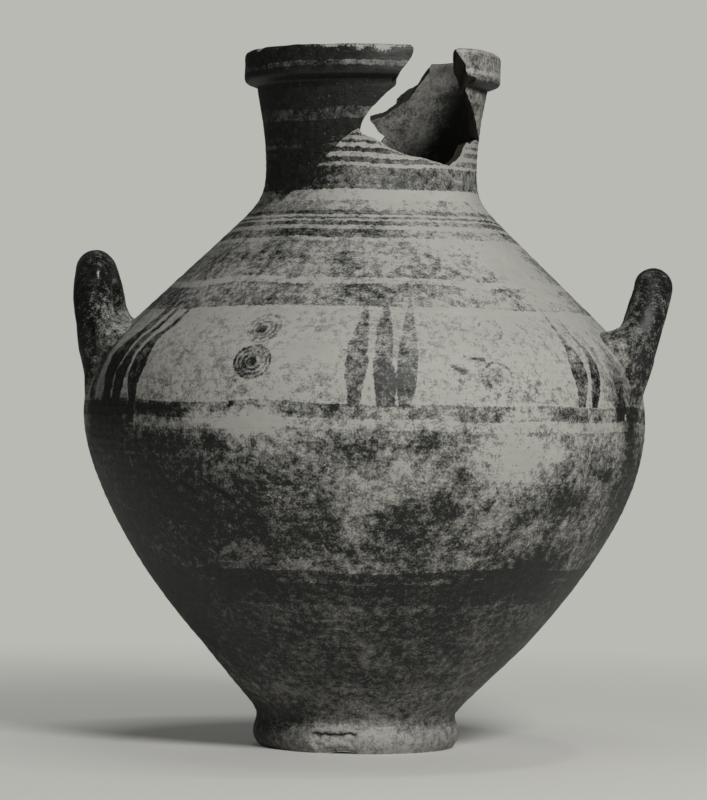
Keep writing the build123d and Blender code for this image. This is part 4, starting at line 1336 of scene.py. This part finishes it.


# Unslipped earthenware inside the jar and under the foot: dull, sooty, finely gritty, with painted light
# near the lip and painted shade deeper in the mouth on the right
def makeBareInside():
    m = newMaterial("earthenware, wiped inside")
    place = add(m, "TexCoord").outputs["Object"]
    patch = add(m, "TexNoise", {"Vector": place, "Scale": 1000 / 22, "Detail": 6,
                                "Roughness": 0.7}).outputs["Fac"]
    grit = add(m, "TexNoise", {"Vector": place, "Scale": 1000 / clay["grit"], "Detail": 3}).outputs["Fac"]
    speck = add(m, "TexNoise", {"Vector": place, "Scale": 1000 / 2.5, "Detail": 3}).outputs["Fac"]
    speck = add(m, "Math", [add(m, "Math", [speck, 0.5], operation="SUBTRACT"), 0.55], operation="MULTIPLY")
    axes = add(m, "SeparateXYZ", [place]).outputs
    # painted light: the inside is paler near the lip; painted shade: darker below the rim on the right,
    # deeper in the mouth
    mouth = add(m, "MapRange", [axes[2], 0.669, 0.674, 0, 0.08])
    right = add(m, "MapRange", [axes[0], 0.045, 0.085, 0, 1])
    below = add(m, "MapRange", [axes[2], 0.668, 0.678, 0.3, 0])
    patch = add(m, "Math", [add(m, "Math", [patch, speck]), mouth], operation="SUBTRACT")
    patch = add(m, "Math", [patch, add(m, "Math", [right, below], operation="MULTIPLY")])
    patch = add(m, "MapRange", [patch, 0.28, 0.68, 0, 1])
    colour = add(m, "Mix", {0: patch, "A": hexColour(clay["inside"]), "B": hexColour(clay["insideDark"])},
                 data_type="RGBA").outputs["Result"]
    bump = add(m, "Bump", {"Height": grit, "Strength": 0.4, "Distance": 0.0008})
    shader = add(m, "BsdfPrincipled", {"Base Color": colour, "Roughness": 0.9, "Normal": bump,
                                       "IOR": clay["ior"]})
    add(m, "OutputMaterial", [shader])
    return m


# Fractured earthenware: the eye sees open grain and a dark core, made darker still as painted shade, since
# the break faces lie in shadow
def makeBrokenClay():
    m = newMaterial("earthenware, fractured")
    place = add(m, "TexCoord").outputs["Object"]
    grain = add(m, "TexNoise", {"Vector": place, "Scale": 1000 / 3.0, "Detail": 5}).outputs["Fac"]
    stones = add(m, "TexVoronoi", {"Vector": place, "Scale": 1000 / 2.4}).outputs["Distance"]
    colour = add(m, "Mix", {0: grain, "A": hexColour(clay["brokenCoreShaded"]), "B": hexColour(clay["brokenCoreDarkShaded"])},
                 data_type="RGBA").outputs["Result"]
    bump = add(m, "Bump", {"Height": grain, "Strength": 0.8, "Distance": 0.001})
    bump = add(m, "Bump", {"Height": stones, "Strength": 0.5, "Distance": 0.0007, "Normal": bump})
    shader = add(m, "BsdfPrincipled", {"Base Color": colour, "Roughness": 0.92, "Normal": bump,
                                       "IOR": clay["ior"]})
    add(m, "OutputMaterial", [shader])
    return m


# Old restorer's adhesive, set hard: thin brown hairline with a slight gloss
def makeMendingGlue():
    m = newMaterial("set adhesive")
    place = add(m, "TexCoord").outputs["Object"]
    grain = add(m, "TexNoise", {"Vector": place, "Scale": 1000 / 4, "Detail": 3}).outputs["Fac"]
    colour = add(m, "Mix", {0: grain, "A": hexColour(clay["glue"]), "B": hexColour(clay["paint"])},
                 data_type="RGBA").outputs["Result"]
    shader = add(m, "BsdfPrincipled", {"Base Color": colour, "Roughness": 0.5, "IOR": 1.52})
    add(m, "OutputMaterial", [shader])
    return m


slippedClay = makeSlippedClay()
bareInside = makeBareInside()
brokenClay = makeBrokenClay()
mendingGlue = makeMendingGlue()
print("materials made")

bodySection("lower_wall", 0)
bodySection("belly_wall", 1)
bodySection("shoulder_wall", 2)
footRing()
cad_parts["base_disc"].data.materials.clear()
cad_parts["base_disc"].data.materials.append(bareInside)
neckStump()
sherd("left_neck_sherd", [(breaks["leftFree"], 0, 0), (breaks["leftJoint"][1:], 0, 0),
                          (breaks["leftBack"][1:], 0, 0)], skins["left"])
sherd("right_neck_sherd", [(breaks["rightFree"], 0, 0), (breaks["rightJoint"][1:], 0, 0),
                           (breaks["rightTip"][1:], 0, 0), (breaks["rightBack"], 0, jar["neckWall"])],
      skins["right"])
glueLine("left_sherd_glue", breaks["leftJoint"])
glueLine("right_sherd_glue", breaks["rightJoint"])
for side in ("left", "right"):
    path = makeHandle(side + "_handle", handles[side])
    makeLuting(side + "_handle_luting", handles[side], path)
print("jar made")

# Floor, backdrop, lights and camera
studio = {
    "backdrop": "#BABAB5", "floor": "#E4E3DD", "floorSize": 8.0,
    "key": {"place": (1.25, -2.45, 2.15), "size": 0.8, "power": 80},
    "top": {"place": (0.8, 0.2, 3.0), "size": 0.25, "power": 5},
    "back": {"place": (0.0, 3.4, 1.6), "size": 2.0, "power": 20, "soft": True},
    "sky": 0.047,
}
camera = {"place": (0.191, -3.647, 0.350), "aim": (0, 0, 0.350), "lens": 162, "roll": 0.0165,
          "shiftX": -0.01725}


def makeStage():
    half = studio["floorSize"] / 2
    mesh = bpy.data.meshes.new("floor")
    mesh.from_pydata([(-half, -half, 0), (half, -half, 0), (half, half, 0), (-half, half, 0)], [],
                     [(0, 1, 2, 3)])
    floor = bpy.data.objects.new("floor", mesh)
    bpy.context.scene.collection.objects.link(floor)
    m = newMaterial("paper floor glowing into the backdrop")
    place = add(m, "TexCoord").outputs["Object"]
    far = add(m, "VectorMath", [place], operation="LENGTH").outputs["Value"]
    # painted light: for camera rays the floor glows in the backdrop's colour, a little near the jar, about
    # half beyond and fully far off; this lifts the jar's shadow and hides the floor's edge
    far = add(m, "ValToRGB", [add(m, "Math", [far, 1.6], operation="DIVIDE")])
    for k, (reach, share) in enumerate(((0.25, 0.08), (0.31, 0.3), (0.38, 0.5), (0.65, 0.55), (1.5, 1.0))):
        stop = far.color_ramp.elements[k] if k < 2 else far.color_ramp.elements.new(reach / 1.6)
        stop.position = reach / 1.6
        stop.color = (share, share, share, 1)
    seen = add(m, "LightPath").outputs["Is Camera Ray"]
    fade = add(m, "Math", [far, seen], operation="MULTIPLY")
    paper = add(m, "BsdfPrincipled", {"Base Color": hexColour(studio["floor"]), "Roughness": 0.95})
    glow = add(m, "Emission", [hexColour(studio["backdrop"]), 1.0])
    both = add(m, "MixShader", [fade, paper, glow])
    add(m, "OutputMaterial", [both])
    mesh.materials.append(m)


def makeWorld():
    world = bpy.data.worlds.new("studio")
    bpy.context.scene.world = world
    world.use_nodes = True
    world.node_tree.nodes.clear()
    cameraRay = add(world, "LightPath").outputs["Is Camera Ray"]
    backdrop = add(world, "Background", [hexColour(studio["backdrop"])])
    light = add(world, "Background", [(1, 1, 1, 1), studio["sky"]])
    add(world, "OutputWorld", [add(world, "MixShader", [cameraRay, light, backdrop])])


def makeLamp(name, lamp):
    data = bpy.data.lights.new(name, "AREA")
    data.shape = "DISK"
    data.size = lamp["size"]
    data.energy = lamp["power"]
    light = bpy.data.objects.new(name, data)
    light.location = lamp["place"]
    light.rotation_euler = (Vector((0, 0, 0.38)) - Vector(lamp["place"])).to_track_quat("-Z",
                                                                                        "Y").to_euler()
    # a lamp behind the jar fills its back without a glare on the edges seen from the front
    light.visible_glossy = not lamp.get("soft", False)
    bpy.context.scene.collection.objects.link(light)


def makeCamera():
    data = bpy.data.cameras.new("view")
    data.lens = camera["lens"]
    data.sensor_width = 36
    data.shift_x = camera["shiftX"]
    view = bpy.data.objects.new("view", data)
    view.location = camera["place"]
    aim = Vector(camera["aim"]) - Vector(camera["place"])
    view.rotation_mode = "QUATERNION"
    view.rotation_quaternion = aim.to_track_quat("-Z", "Y") @ Quaternion((0, 0, 1), camera["roll"])
    bpy.context.scene.collection.objects.link(view)
    bpy.context.scene.camera = view


makeStage()
makeWorld()
for name in ("key", "top", "back"):
    makeLamp(name, studio[name])
makeCamera()
bpy.context.scene.view_settings.view_transform = "Standard"
print("stage, lamps and camera set")
